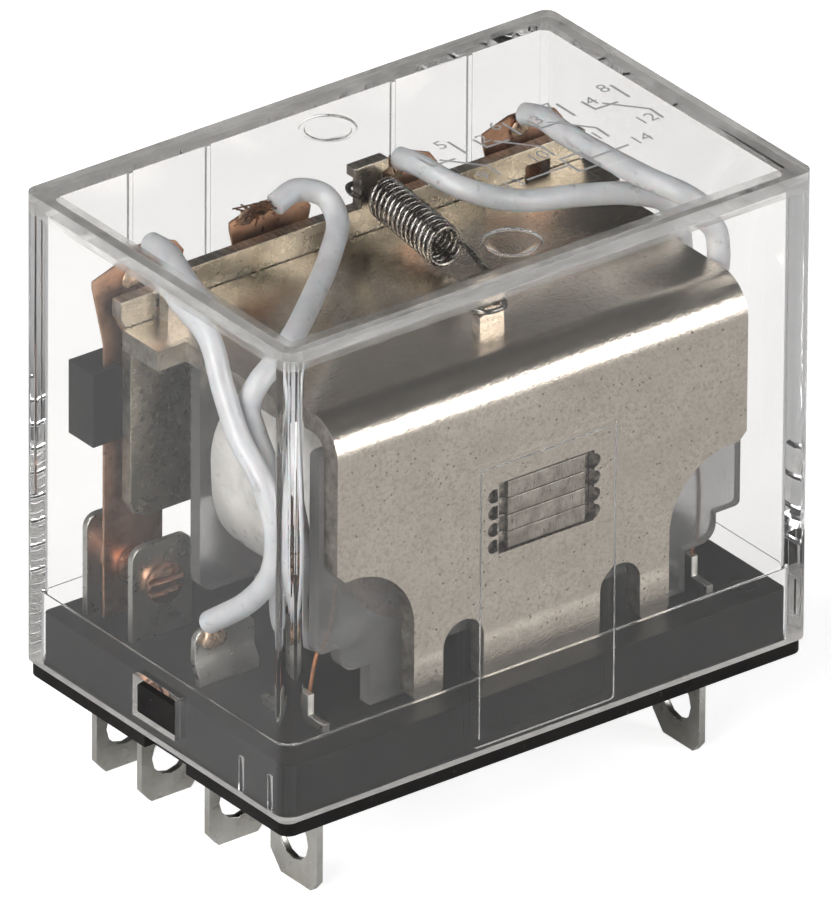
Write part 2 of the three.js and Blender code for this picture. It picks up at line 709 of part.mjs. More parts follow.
const WINDING_HALF = [13.75, 6.5];
const WINDING_CORNER = 5.5;

function coilWinding() {
  const bore = [CORE_HALF + 0.95, BORE_HALF_HEIGHT + 0.9, 0.85];
  return windingRing(WINDING_HALF[0], WINDING_HALF[1], WINDING_CORNER, bore, WINDING_Y);
}

function coilTape() {
  const gap = 0.05;
  const sheet = 0.2;
  const bore = [WINDING_HALF[0] + gap, WINDING_HALF[1] + gap, WINDING_CORNER + gap];
  const grow = gap + sheet;
  const outer = [WINDING_HALF[0] + grow, WINDING_HALF[1] + grow, WINDING_CORNER + grow];
  return windingRing(outer[0], outer[1], outer[2], bore, [-6.2, WINDING_Y[1]]);
}

// ---------------------------------------------------------------- armature

function armature() {
  const topLeft = -17.1;
  const topRight = 18.9;
  const tab = SPRING_TAB_X;
  const shape = polygon([
    [ARMATURE_LEFT + 1.2, ARMATURE_BOTTOM],
    [ARMATURE_RIGHT - 1.2, ARMATURE_BOTTOM],
    [ARMATURE_RIGHT - 0.35, ARMATURE_BOTTOM + 0.35],
    [ARMATURE_RIGHT, ARMATURE_BOTTOM + 1.2],
    [ARMATURE_RIGHT, 25.5],
    [topRight, 27.0],
    [topRight, ARMATURE_TOP],
    [tab + 0.85, ARMATURE_TOP],
    [tab + 0.85, 30.2],
    [tab + 1.35, 30.4],
    [tab + 1.35, 31.1],
    [tab - 1.35, 31.1],
    [tab - 1.35, 30.4],
    [tab - 0.85, 30.2],
    [tab - 0.85, ARMATURE_TOP],
    [topLeft, ARMATURE_TOP],
    [topLeft, 27.0],
    [ARMATURE_LEFT, 25.5],
    [ARMATURE_LEFT, ARMATURE_BOTTOM + 1.2],
    [ARMATURE_LEFT + 0.35, ARMATURE_BOTTOM + 0.35],
  ]);
  const thickness = [ARMATURE_FRONT, ARMATURE_FRONT + ARMATURE_SHEET];
  let solid = frontPlate(shape, thickness);
  for (const x of PIVOT_TAB_X) {
    solid = solid.subtract(box([x - 0.95, x + 0.95], [6, 10], [YOKE_TOP - 1.5, YOKE_TOP + 0.7]));
  }
  for (const x of CARRIER_RIVET_X) {
    solid = solid.subtract(rod(x, CARRIER_RIVET_Z, 0.75, [6, 10], 12));
  }
  return solid;
}

// ---------------------------------------------------------------- wires and spring

function section(radius, sides) {
  const points = [];
  for (let i = 0; i < sides; i += 1) {
    const angle = (2 * Math.PI * i) / sides;
    points.push([radius * Math.cos(angle), radius * Math.sin(angle)]);
  }
  return polygon(points);
}

function sweep(curve, radius, sides, steps) {
  return new THREE.ExtrudeGeometry(section(radius, sides), { extrudePath: curve, steps, bevelEnabled: false });
}

function smoothCurve(points) {
  return new THREE.CatmullRomCurve3(points.map((p) => new THREE.Vector3(...p)), false, "centripetal");
}

// Each lead runs from the top of its moving strip, round the side of the coil, to its common terminal.
const LEAD_ROUTES = [
  [
    [-15.0, 8.0, 30.5],
    [-15.3, 6.0, 30.8],
    [-16.1, 3.8, 30.9],
    [-16.9, 1.4, 30.8],
    [-17.5, -2.4, 30.0],
    [-17.8, -4.3, 27.2],
    [-17.8, -6.0, 24.5],
    [-17.7, -8.2, 22.4],
    [-17.5, -9.3, 19.3],
    [-17.3, -8.7, 16.2],
    [-17.0, -6.1, 12.9],
    [-16.9, -1.7, 9.35],
  ],
  [
    [-5.3, 8.0, 30.2],
    [-3.6, 8.0, 30.7],
    [-2.2, 7.0, 30.3],
    [-2.5, 5.2, 29.4],
    [-4.5, 3.2, 28.6],
    [-9.3, -1.0, 28.4],
    [-13.4, -4.2, 28.2],
    [-15.6, -4.9, 27.3],
    [-16.15, -4.7, 25.8],
    [-16.15, -5.4, 24.2],
    [-16.15, -6.6, 22.4],
    [-15.3, -6.7, 19.0],
    [-14.3, -6.1, 15.0],
    [-13.8, -5.0, 11.0],
    [-12.4, -4.0, 8.1],
    [-9.4, -3.0, 6.3],
    [-6.6, -2.15, 6.7],
  ],
  [
    [4.4, 7.9, 30.5],
    [4.6, 6.2, 30.7],
    [5.2, 3.6, 30.3],
    [6.6, 2.0, 29.7],
    [9.2, 1.2, 28.8],
    [12.9, 0.3, 28.4],
    [16.0, -1.0, 28.1],
    [18.1, -2.0, 27.3],
    [18.58, -2.3, 25.6],
    [18.4, -2.2, 22.0],
    [18.2, -1.4, 17.0],
    [17.6, 0.3, 12.0],
    [16.2, 1.3, 8.0],
    [13.0, 1.3, 6.2],
    [9.5, 1.1, 6.2],
    [6.6, 0.6, 7.0],
  ],
  [
    [14.4, 7.9, 30.5],
    [14.5, 6.3, 30.9],
    [14.7, 4.0, 30.6],
    [15.1, 0.5, 30.4],
    [15.7, -3.4, 30.2],
    [16.9, -5.6, 29.6],
    [18.2, -6.2, 28.2],
    [18.58, -6.2, 26.4],
    [18.55, -6.0, 24.2],
    [18.3, -5.8, 19.0],
    [17.8, -5.2, 13.5],
    [16.9, -4.0, 10.6],
    [15.8, -2.4, 9.3],
  ],
];

// The winding's two ends, from the winding down to the coil terminals.
const COIL_LEAD_ROUTES = {
  coil_lead_a: [
    [-12.75, -7.5, 14.0],
    [-13.2, -7.5, 11.0],
    [-14.2, -7.55, 8.4],
    [-14.7, -7.6, 6.2],
  ],
  coil_lead_b: [
    [15.65, -7.5, 14.0],
    [15.9, -7.5, 11.0],
    [15.8, -7.55, 8.4],
    [15.65, -7.6, 6.2],
  ],
};

class SpringCurve extends THREE.Curve {
  // Rear hook round the armature's tab, the coils, and the front hook round the yoke's post.
  constructor() {
    super();
    this.rear = new THREE.Vector3(SPRING_X, 6.55, 29.0);
    this.front = new THREE.Vector3(SPRING_X, 0.15, 28.1);
    this.hookSpan = 0.14;
  }

  getPoint(t) {
    if (t < this.hookSpan) {
      return this.rearHook(t / this.hookSpan);
    }
    if (t > 1 - this.hookSpan) {
      return this.frontHook((t - 1 + this.hookSpan) / this.hookSpan);
    }
    const s = (t - this.hookSpan) / (1 - 2 * this.hookSpan);
    const centre = this.rear.clone().lerp(this.front, s);
    const angle = 2 * Math.PI * SPRING_TURNS * s;
    centre.x += SPRING_RADIUS * Math.cos(angle);
    centre.z += SPRING_RADIUS * Math.sin(angle);
    return centre;
  }

  rearHook(s) {
    // An open loop behind the tab, ending where the first coil starts on the right.
    const points = [
      [0.55, 6.9, 29.35],
      [0.45, 7.7, 29.35],
      [0.85, 8.5, 29.35],
      [1.9, 8.6, 29.35],
      [2.95, 8.5, 29.35],
      [3.4, 7.8, 29.35],
      [3.47, 6.95, 29.1],
      [SPRING_X + SPRING_RADIUS, 6.55, 29.0],
    ];
    return smoothCurve(points).getPoint(s);
  }

  frontHook(s) {
    // From the last coil forwards, across in front of the post's waist, and back on the other side.
    const points = [
      [SPRING_X + SPRING_RADIUS, 0.15, 28.1],
      [3.3, -1.0, 28.0],
      [2.8, -3.2, 27.75],
      [2.5, -4.7, 27.6],
      [2.1, -5.55, 27.55],
      [1.3, -5.75, 27.55],
      [0.45, -5.5, 27.55],
      [0.2, -4.6, 27.55],
      [0.3, -3.7, 27.6],
    ];
    return smoothCurve(points).getPoint(s);
  }
}

// ---------------------------------------------------------------- assembly

addSolid("base", base(), material("black"));
addSolid("cover", cover(), clearPlastic());

POLE_X.forEach((x, pole) => {
  const number = pole + 1;
  addSolid(`nc_terminal_${number}`, fixedTerminal(x, NC_Y, NC_TOP), material("tin"));
  addSolid(`no_terminal_${number + 4}`, fixedTerminal(x, NO_Y, NO_TOP), material("tin"));
  addSolid(`com_terminal_${number + 8}`, commonTerminal(x), material("tin"));
  addSolid(`nc_contact_${number}`, contactRivet(x, NC_Y, NC_Y + SHEET), material("copper"));
  addSolid(`no_contact_${number + 4}`, contactRivet(x, NO_Y + SHEET, NO_Y), material("copper"));
  addSolid(`moving_strip_${number}`, movingStrip(x), material("bronze"));
  addSolid(`moving_contact_${number}`, contactRivet(x, STRIP_Y + STRIP_SHEET, STRIP_Y), material("copper"));
});
addSolid("coil_terminal_13", coilTerminal(-COIL_TERMINAL_X), material("tin"));
addSolid("coil_terminal_14", coilTerminal(COIL_TERMINAL_X), material("tin"));

addSolid("contact_carrier", contactCarrier(), material("black"));
CARRIER_RIVET_X.forEach((x, i) => {
  addSolid(`carrier_rivet_${i + 1}`, carrierRivet(x), material("steel"));
});
addSolid("armature", armature(), material("nickel"));

addSolid("yoke", yoke(), material("nickel"));
for (let i = 0; i < 4; i += 1) {
  addSolid(`core_lamination_${i + 1}`, lamination(i), material("steel"));
}
addSolid("shading_ring", shadingRing(), material("copper"));
addSolid("bobbin", bobbin(), material("natural"));
addSolid("coil_winding", coilWinding(), material("copper"));
addSolid("coil_tape", coilTape(), material("tape"));

LEAD_ROUTES.forEach((route, i) => {
  addPart(`lead_wire_${i + 1}`, sweep(smoothCurve(route), LEAD_RADIUS, 8, 34), material("silicone"));
});
for (const [name, route] of Object.entries(COIL_LEAD_ROUTES)) {
  addPart(name, sweep(smoothCurve(route), 0.15, 6, 8), material("copper"));
}
addPart("return_spring", sweep(new SpringCurve(), SPRING_WIRE / 2, 6, 210), material("spring"));

export default relay;
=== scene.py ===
"""Looks for a four-pole plug-in relay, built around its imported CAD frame.

Metres in Blender; the tables below are in millimetres and go through MM.
"""

import math
import random

import bmesh
import bpy
import numpy as np
from mathutils import Matrix, Vector


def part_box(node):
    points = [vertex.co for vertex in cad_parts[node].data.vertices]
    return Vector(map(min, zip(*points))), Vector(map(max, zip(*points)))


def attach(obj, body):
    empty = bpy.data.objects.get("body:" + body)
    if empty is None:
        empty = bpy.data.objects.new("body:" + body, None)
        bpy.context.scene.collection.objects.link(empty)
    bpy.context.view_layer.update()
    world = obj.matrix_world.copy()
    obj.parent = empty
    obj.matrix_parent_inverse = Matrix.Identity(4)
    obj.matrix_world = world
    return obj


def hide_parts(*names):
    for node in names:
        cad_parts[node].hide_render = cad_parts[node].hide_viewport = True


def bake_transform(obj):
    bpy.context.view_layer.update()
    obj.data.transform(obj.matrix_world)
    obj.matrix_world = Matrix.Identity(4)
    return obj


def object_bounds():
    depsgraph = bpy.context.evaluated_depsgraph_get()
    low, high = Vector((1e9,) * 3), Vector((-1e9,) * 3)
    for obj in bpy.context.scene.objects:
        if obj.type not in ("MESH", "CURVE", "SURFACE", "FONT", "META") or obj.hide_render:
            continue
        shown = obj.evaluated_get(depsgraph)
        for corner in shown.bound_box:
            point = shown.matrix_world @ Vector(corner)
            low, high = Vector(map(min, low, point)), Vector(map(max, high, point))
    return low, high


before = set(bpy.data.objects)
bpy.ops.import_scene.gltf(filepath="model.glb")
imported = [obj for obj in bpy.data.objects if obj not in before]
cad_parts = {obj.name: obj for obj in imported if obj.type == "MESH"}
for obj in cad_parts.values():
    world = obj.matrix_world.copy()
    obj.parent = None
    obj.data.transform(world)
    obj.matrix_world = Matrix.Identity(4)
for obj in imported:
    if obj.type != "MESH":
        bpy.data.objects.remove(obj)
CAD_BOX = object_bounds()

MM = 0.001
FIXED = "relay_frame"
MOVING = "armature_group"
POLE_X = (-15.0, -5.0, 5.0, 15.0)
MAGNET_X = 1.45
CRATER_ROWS, CRATER_COLUMNS = 13, 28
COIL_TURN_PITCH = 0.28
SPRING_WIRE_RADIUS = 0.19
COIL_LEAD_RADIUS = 0.14
STRAND_RADIUS = 0.06
PRINT_Z = 34.502
PRINT_WIDTH = 0.2
PRINT_HEIGHT = 1.1
FLOOR_Z = -7.25
SCENE = bpy.context.scene


# ---------------------------------------------------------------- material recipes

class Recipe:
    """A Principled material whose detail comes from noise in object space, measured in millimetres."""

    def __init__(self, name, **sockets):
        self.material = bpy.data.materials.new(name)
        self.material.use_nodes = True
        self.tree = self.material.node_tree
        self.shader = self.tree.nodes["Principled BSDF"]
        for socket, value in sockets.items():
            self.set(socket.replace("_", " "), value)
        coordinates = self.tree.nodes.new("ShaderNodeTexCoord")
        to_mm = self.tree.nodes.new("ShaderNodeVectorMath")
        to_mm.operation = "MULTIPLY"
        to_mm.inputs[1].default_value = (1 / MM, 1 / MM, 1 / MM)
        self.link(coordinates.outputs["Object"], to_mm.inputs[0])
        self.mm = to_mm.outputs[0]
        self.last_bump = None

    def link(self, output, socket):
        self.tree.links.new(output, socket)

    def set(self, socket, value):
        if isinstance(value, tuple) and len(value) == 3 and "Color" in socket:
            value = (*value, 1.0)
        self.shader.inputs[socket].default_value = value

    def stretched(self, stretch):
        node = self.tree.nodes.new("ShaderNodeVectorMath")
        node.operation = "MULTIPLY"
        node.inputs[1].default_value = stretch
        self.link(self.mm, node.inputs[0])
        return node.outputs[0]

    def noise(self, scale, detail=3.0, roughness=0.55, stretch=None, distortion=0.0):
        node = self.tree.nodes.new("ShaderNodeTexNoise")
        node.inputs["Scale"].default_value = scale
        node.inputs["Detail"].default_value = detail
        node.inputs["Roughness"].default_value = roughness
        node.inputs["Distortion"].default_value = distortion
        self.link(self.stretched(stretch) if stretch else self.mm, node.inputs["Vector"])
        return node.outputs[0]

    def cells(self, scale, stretch=None):
        node = self.tree.nodes.new("ShaderNodeTexVoronoi")
        node.inputs["Scale"].default_value = scale
        self.link(self.stretched(stretch) if stretch else self.mm, node.inputs["Vector"])
        return node.outputs["Distance"]

    def remap(self, value, low, high, to_low=0.0, to_high=1.0):
        node = self.tree.nodes.new("ShaderNodeMapRange")
        for socket, number in zip(("From Min", "From Max", "To Min", "To Max"), (low, high, to_low, to_high)):
            node.inputs[socket].default_value = number
        self.link(value, node.inputs["Value"])
        return node.outputs["Result"]

    def combine(self, operation, a, b):
        node = self.tree.nodes.new("ShaderNodeMath")
        node.operation = operation
        for socket, value in zip(node.inputs, (a, b)):
            if isinstance(value, (int, float)):
                socket.default_value = value
            else:
                self.link(value, socket)
        return node.outputs[0]

    def ramp(self, value, *stops):
        node = self.tree.nodes.new("ShaderNodeValToRGB")
        elements = node.color_ramp.elements
        while len(elements) < len(stops):
            elements.new(0.5)
        for element, (position, colour) in zip(elements, stops):
            element.position = position
            element.color = (*colour, 1.0)
        self.link(value, node.inputs[0])
        return node.outputs["Color"]

    def mix(self, share, a, b):
        node = self.tree.nodes.new("ShaderNodeMix")
        node.data_type = "RGBA"
        self.link(share, node.inputs[0])
        for socket, value in zip((node.inputs[6], node.inputs[7]), (a, b)):
            if isinstance(value, tuple):
                socket.default_value = (*value, 1.0)
            else:
                self.link(value, socket)
        return node.outputs[2]

    def colour(self, output):
        self.link(output, self.shader.inputs["Base Color"])

    def roughness(self, value, low, high):
        self.link(self.remap(value, 0.3, 0.7, low, high), self.shader.inputs["Roughness"])

    def bump(self, height, distance_mm, strength=1.0):
        node = self.tree.nodes.new("ShaderNodeBump")
        node.inputs["Strength"].default_value = strength
        node.inputs["Distance"].default_value = distance_mm * MM
        self.link(height, node.inputs["Height"])
        if self.last_bump is not None:
            self.link(self.last_bump, node.inputs["Normal"])
        self.last_bump = node.outputs["Normal"]
        self.link(self.last_bump, self.shader.inputs["Normal"])


def nickel():
    look = Recipe("nickel_plating", Metallic=1.0)
    clouds = look.noise(0.35, 5.0, 0.6)
    tone = look.ramp(clouds, (0.3, (0.70, 0.63, 0.54)), (0.7, (0.79, 0.72, 0.63)))
    grain = look.noise(5.0, 4.0, 0.7)
    tone = look.mix(look.remap(grain, 0.48, 0.66), tone, (0.58, 0.515, 0.44))
    pits = look.remap(look.cells(1.9), 0.16, 0.10)
    sparse = look.remap(look.noise(1.3, 2.0), 0.47, 0.52)
    look.colour(look.mix(look.combine("MULTIPLY", pits, sparse), tone, (0.14, 0.115, 0.09)))
    look.roughness(look.noise(1.1, 6.0, 0.65), 0.17, 0.25)
    look.bump(look.noise(1.3, 4.0, 0.6, stretch=(1.6, 0.6, 0.6)), 0.025, 0.4)
    look.bump(look.noise(3.2, 3.0, 0.65), 0.014, 0.8)
    look.bump(look.noise(6.5, 2.0, 0.6), 0.016, 1.0)
    return look.material


def cut_edge_and_pit_shade():
    # Dark, unplated cut-edge metal; the armature's craters also get it as painted shade.
    look = Recipe("nickel_cut_edge_and_pit_shade", Metallic=1.0)
    grain = look.noise(1.2, 5.0, 0.7, stretch=(3.0, 0.6, 0.6))
    look.colour(look.ramp(grain, (0.35, (0.16, 0.14, 0.12)), (0.65, (0.44, 0.40, 0.35))))
    look.roughness(look.noise(3.0, 4.0), 0.35, 0.6)
    look.bump(grain, 0.06, 0.7)
    return look.material


def armature_steel():
    look = Recipe("armature_plating", Metallic=1.0)
    clouds = look.noise(0.3, 2.0, 0.5)
    tone = look.ramp(clouds, (0.34, (0.36, 0.32, 0.25)), (0.66, (0.58, 0.53, 0.44)))
    marks = look.remap(look.noise(1.8, 3.0, 0.6, stretch=(0.5, 1.0, 1.6)), 0.69, 0.78)
    look.colour(look.mix(marks, tone, (0.12, 0.10, 0.08)))
    look.roughness(look.noise(1.4, 3.0, 0.6), 0.22, 0.34)
    look.bump(look.noise(2.2, 2.0, 0.5), 0.003, 0.5)
    return look.material


def core_steel():
    look = Recipe("core_steel", Metallic=1.0)
    clouds = look.noise(0.9, 5.0, 0.65)
    tone = look.ramp(clouds, (0.32, (0.27, 0.24, 0.20)), (0.7, (0.55, 0.51, 0.45)))
    hatch = look.noise(5.0, 3.0, 0.7, stretch=(2.2, 1.0, 0.35))
    look.colour(look.mix(look.remap(hatch, 0.56, 0.68), tone, (0.13, 0.11, 0.09)))
    look.roughness(look.noise(2.4, 4.0), 0.28, 0.5)
    look.bump(hatch, 0.05, 0.8)
    return look.material


def shaded_recess():
    """The floors and walls of punched grooves, pockets and seams, coloured dark as painted shade where they
    get less light.
    """
    look = Recipe("shaded_recess", Metallic=1.0)
    shade_mottle = look.noise(2.5, 4.0, 0.65)
    look.colour(look.ramp(shade_mottle, (0.35, (0.10, 0.09, 0.08)), (0.7, (0.40, 0.36, 0.31))))
    look.roughness(look.noise(3.0, 3.0), 0.3, 0.5)
    look.bump(shade_mottle, 0.04, 0.6)
    return look.material


def tinned_brass():
    look = Recipe("tinned_brass", Metallic=1.0)
    clouds = look.noise(0.5, 4.0, 0.6)
    look.colour(look.ramp(clouds, (0.3, (0.56, 0.54, 0.49)), (0.7, (0.70, 0.69, 0.65))))
    brushing = look.noise(1.6, 4.0, 0.6, stretch=(3.5, 3.5, 0.5))
    look.roughness(look.noise(1.3, 5.0), 0.24, 0.42)
    look.bump(brushing, 0.015, 0.5)
    return look.material


def bronze_strip():
    look = Recipe("bronze_strip", Metallic=1.0)
    clouds = look.noise(0.45, 5.0, 0.65)
    tone = look.ramp(clouds, (0.3, (0.36, 0.19, 0.11)), (0.5, (0.60, 0.36, 0.24)), (0.72, (0.72, 0.47, 0.33)))
    stain = look.remap(look.noise(1.5, 4.0, 0.6), 0.60, 0.72)
    look.colour(look.mix(stain, tone, (0.13, 0.08, 0.06)))
    look.roughness(look.noise(1.2, 5.0), 0.28, 0.46)
    look.bump(look.noise(2.0, 4.0, 0.6, stretch=(2.5, 1.0, 0.4)), 0.02, 0.5)
    return look.material


def contact_metal():
    look = Recipe("contact_copper", Metallic=1.0)
    clouds = look.noise(1.2, 4.0, 0.6)
    look.colour(look.ramp(clouds, (0.3, (0.50, 0.26, 0.17)), (0.7, (0.80, 0.50, 0.36))))
    look.roughness(look.noise(1.4, 3.0), 0.18, 0.30)
    look.bump(look.noise(1.2, 2.0), 0.015, 0.3)
    return look.material


def black_moulding(name, rough):
    look = Recipe(name)
    look.set("Specular IOR Level", 0.12)
    dust = look.remap(look.noise(3.0, 3.0, 0.6), 0.66, 0.76)
    tone = look.ramp(look.noise(0.3, 4.0), (0.3, (0.007, 0.006, 0.006)), (0.7, (0.014, 0.013, 0.012)))
    look.colour(look.mix(dust, tone, (0.06, 0.057, 0.054)))
    look.roughness(look.noise(0.8, 5.0), rough - 0.08, rough + 0.1)
    look.bump(look.noise(6.0, 3.0, 0.6), 0.012 if rough < 0.5 else 0.05, 0.6)
    return look.material


def natural_plastic():
    look = Recipe("natural_plastic", Transmission_Weight=0.85, IOR=1.35)
    clouds = look.noise(0.15, 3.0)
    look.colour(look.ramp(clouds, (0.3, (0.36, 0.357, 0.35)), (0.7, (0.47, 0.467, 0.46))))
    look.roughness(look.noise(0.4, 3.0), 0.16, 0.26)
    look.bump(look.noise(0.4, 2.0), 0.01, 0.2)
    return look.material


def white_tape():
    look = Recipe("polyester_tape", Coat_Weight=0.5, Coat_Roughness=0.15)
    clouds = look.noise(0.4, 4.0)
    look.colour(look.ramp(clouds, (0.35, (0.36, 0.35, 0.33)), (0.65, (0.48, 0.47, 0.455))))
    look.roughness(look.noise(0.9, 4.0), 0.22, 0.42)
    look.bump(look.noise(0.55, 5.0, 0.6, stretch=(1.0, 0.5, 1.0)), 0.12, 0.6)
    return look.material


def enamelled_copper():
    look = Recipe("enamelled_copper", Metallic=1.0, Coat_Weight=0.6, Coat_Roughness=0.12)
    turns = look.noise(1.0, 3.0, 0.6, stretch=(0.4, 8.0, 0.4))
    look.colour(look.ramp(turns, (0.3, (0.38, 0.13, 0.05)), (0.7, (0.72, 0.34, 0.17))))
    look.roughness(look.noise(2.0, 4.0), 0.22, 0.4)
    look.bump(turns, 0.04, 0.6)
    return look.material


def silicone_sleeve():
    look = Recipe("silicone_sleeve", Coat_Weight=0.25, Coat_Roughness=0.25, Subsurface_Weight=0.25,
                  Subsurface_Scale=0.0006)
    clouds = look.noise(0.5, 4.0)
    tone = look.ramp(clouds, (0.3, (0.37, 0.380, 0.392)), (0.7, (0.48, 0.490, 0.502)))
    smudge = look.remap(look.noise(1.1, 4.0, 0.65), 0.60, 0.74)
    look.colour(look.mix(smudge, tone, (0.20, 0.20, 0.20)))
    look.roughness(look.noise(1.4, 4.0), 0.3, 0.5)
    look.bump(look.noise(1.2, 4.0), 0.05, 0.4)
    return look.material


def bare_strands():
    look = Recipe("bare_strands", Metallic=1.0)
    look.colour(look.ramp(look.noise(2.0, 3.0), (0.35, (0.07, 0.05, 0.04)), (0.65, (0.32, 0.17, 0.10))))
    look.roughness(look.noise(3.0, 3.0), 0.3, 0.5)
    look.bump(look.noise(6.0, 2.0), 0.01, 0.5)
    return look.material


def flux_solder():
    look = Recipe("solder_and_flux", Metallic=0.6, Coat_Weight=0.8, Coat_Roughness=0.08)
    look.colour(look.ramp(look.noise(1.6, 4.0), (0.35, (0.20, 0.11, 0.06)), (0.65, (0.60, 0.44, 0.30))))
    look.roughness(look.noise(2.0, 3.0), 0.15, 0.35)
    look.bump(look.noise(2.5, 3.0), 0.06, 0.5)
    return look.material


def spring_steel():
    look = Recipe("spring_steel", Metallic=1.0)
    look.colour(look.ramp(look.noise(1.0, 3.0), (0.35, (0.24, 0.22, 0.20)), (0.65, (0.46, 0.44, 0.41))))
    look.roughness(look.noise(2.5, 3.0), 0.16, 0.3)
    look.bump(look.noise(5.0, 2.0), 0.008, 0.4)
    return look.material


def clear_plastic():
    look = Recipe("clear_plastic", Transmission_Weight=1.0, IOR=1.49)
    look.colour(look.ramp(look.noise(0.2, 2.0), (0.3, (0.930, 0.924, 0.918)), (0.7, (0.950, 0.944, 0.938))))
    scuffs = look.noise(0.9, 6.0, 0.7)
    look.link(look.remap(scuffs, 0.60, 0.85, 0.0, 0.12), look.shader.inputs["Roughness"])
    look.bump(look.noise(0.25, 2.0), 0.004, 0.2)
    return look.material


def clear_rim():
    """Along the cover's top edges the plastic is seen through its whole width; its streaked grey colour and
    lower clearness are painted light and shade, standing in for the bright and dark lines the rim's
    refraction draws.
    """
    look = Recipe("clear_rim", Transmission_Weight=0.76, IOR=1.49)
    rim_light_lines = look.noise(0.6, 6.0, 0.7, stretch=(0.3, 0.3, 3.0))
    look.colour(look.ramp(rim_light_lines, (0.32, (0.42, 0.41, 0.39)), (0.68, (0.95, 0.94, 0.92))))
    look.roughness(look.noise(1.2, 4.0), 0.06, 0.22)
    look.bump(look.noise(0.5, 2.0), 0.02, 0.3)
    return look.material


def frosted_edge():
    """The lower end of the cover's walls, where the light that runs down inside them comes out; a faint
    emission paints that light in.
    """
    look = Recipe("frosted_edge", IOR=1.49)
    look.colour(look.ramp(look.noise(1.5, 4.0), (0.3, (0.28, 0.27, 0.26)), (0.7, (0.42, 0.41, 0.40))))
    look.set("Emission Color", (1.0, 0.98, 0.95))
    look.set("Emission Strength", 0.08)
    look.roughness(look.noise(2.0, 3.0), 0.5, 0.7)
    look.bump(look.noise(4.0, 3.0), 0.03, 0.5)
    return look.material


def print_ink():
    look = Recipe("grey_print", IOR=1.45)
    look.colour(look.ramp(look.noise(2.0, 4.0), (0.35, (0.40, 0.40, 0.40)), (0.65, (0.50, 0.50, 0.50))))
    look.roughness(look.noise(3.0, 3.0), 0.4, 0.6)
    look.bump(look.noise(8.0, 2.0), 0.005, 0.4)
    return look.material


LOOKS = {
    "nickel": nickel(),
    "cut_edge_and_shade": cut_edge_and_pit_shade(),
    "armature": armature_steel(),
    "core": core_steel(),
    "tin": tinned_brass(),
    "bronze": bronze_strip(),
    "contact": contact_metal(),
    "black": black_moulding("black_moulding", 0.42),
    "carrier": black_moulding("rough_black_moulding", 0.62),
    "natural": natural_plastic(),
    "tape": white_tape(),
    "copper": enamelled_copper(),
    "sleeve": silicone_sleeve(),
    "strands": bare_strands(),
    "solder": flux_solder(),
    "spring": spring_steel(),
    "clear": clear_plastic(),
    "rim": clear_rim(),
    "frosted": frosted_edge(),
    "shade": shaded_recess(),
    "print": print_ink(),
}


# ---------------------------------------------------------------- mesh helpers

def new_object(name, mesh, *looks):
    piece = bpy.data.objects.new(name, mesh)
    SCENE.collection.objects.link(piece)
    for look in looks:
        mesh.materials.append(LOOKS[look])
    return piece


def mesh_of(name, points, faces):
    """A mesh from points in millimetres."""
    mesh = bpy.data.meshes.new(name)
    mesh.from_pydata([tuple(c * MM for c in p) for p in points], [], faces)
    mesh.validate()
    mesh.update()
    return mesh


def baked(piece):
    """Applies a piece's modifiers to its mesh."""
    bpy.context.view_layer.update()
    graph = bpy.context.evaluated_depsgraph_get()
    mesh = bpy.data.meshes.new_from_object(piece.evaluated_get(graph))
    old = piece.data
    piece.modifiers.clear()
    piece.data = mesh
    bpy.data.meshes.remove(old)
    return piece


def smooth(piece, sharp_degrees=40.0):
    mesh = piece.data
    mesh.polygons.foreach_set("use_smooth", [True] * len(mesh.polygons))
    mesh.set_sharp_from_angle(angle=math.radians(sharp_degrees))
    return piece


def place(piece, body, slot, *nodes):
    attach(piece, body)
    if nodes:
        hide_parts(*nodes)
    return piece


def refined(node, look, bevel_mm, segments=2):
    """A copy of a CAD node with its edges rounded, so that they catch the light as real edges do."""
    cleaner = bmesh.new()
    cleaner.from_mesh(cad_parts[node].data)
    bmesh.ops.remove_doubles(cleaner, verts=cleaner.verts, dist=2e-7)
    bmesh.ops.dissolve_limit(
        cleaner, angle_limit=math.radians(1.0), verts=cleaner.verts, edges=cleaner.edges)
    mesh = bpy.data.meshes.new(node + "_fine")
    cleaner.to_mesh(mesh)
    cleaner.free()
    piece = new_object(node + "_fine", mesh, look)
    bevel = piece.modifiers.new("edges", "BEVEL")
    bevel.width = bevel_mm * MM
    bevel.segments = segments
    bevel.limit_method = "ANGLE"
    bevel.angle_limit = math.radians(35.0)
    bevel.harden_normals = False
    baked(piece)
    smooth(piece, 50.0)
    weighted = piece.modifiers.new("normals", "WEIGHTED_NORMAL")
    weighted.keep_sharp = True
    weighted.weight = 80
    return piece


def recolour(piece, look, test):
    """Gives the faces that pass the test, on their centre in millimetres and normal, another look."""
    piece.data.materials.append(LOOKS[look])
    index = len(piece.data.materials) - 1
    for face in piece.data.polygons:
        if test(face.center / MM, face.normal):
            face.material_index = index
    return piece


def split(piece, planes):
    """Cuts the faces, without parting them, where they cross planes at right angles to an axis."""
    knife = bmesh.new()
    knife.from_mesh(piece.data)
    bmesh.ops.triangulate(knife, faces=knife.faces[:])
    for axis, places in planes.items():
        normal = Vector([float(axis == name) for name in "xyz"])
        for place_mm in places:
            everything = knife.verts[:] + knife.edges[:] + knife.faces[:]
            bmesh.ops.bisect_plane(knife, geom=everything, plane_co=normal * place_mm * MM, plane_no=normal)
    knife.to_mesh(piece.data)
    knife.free()
    return piece


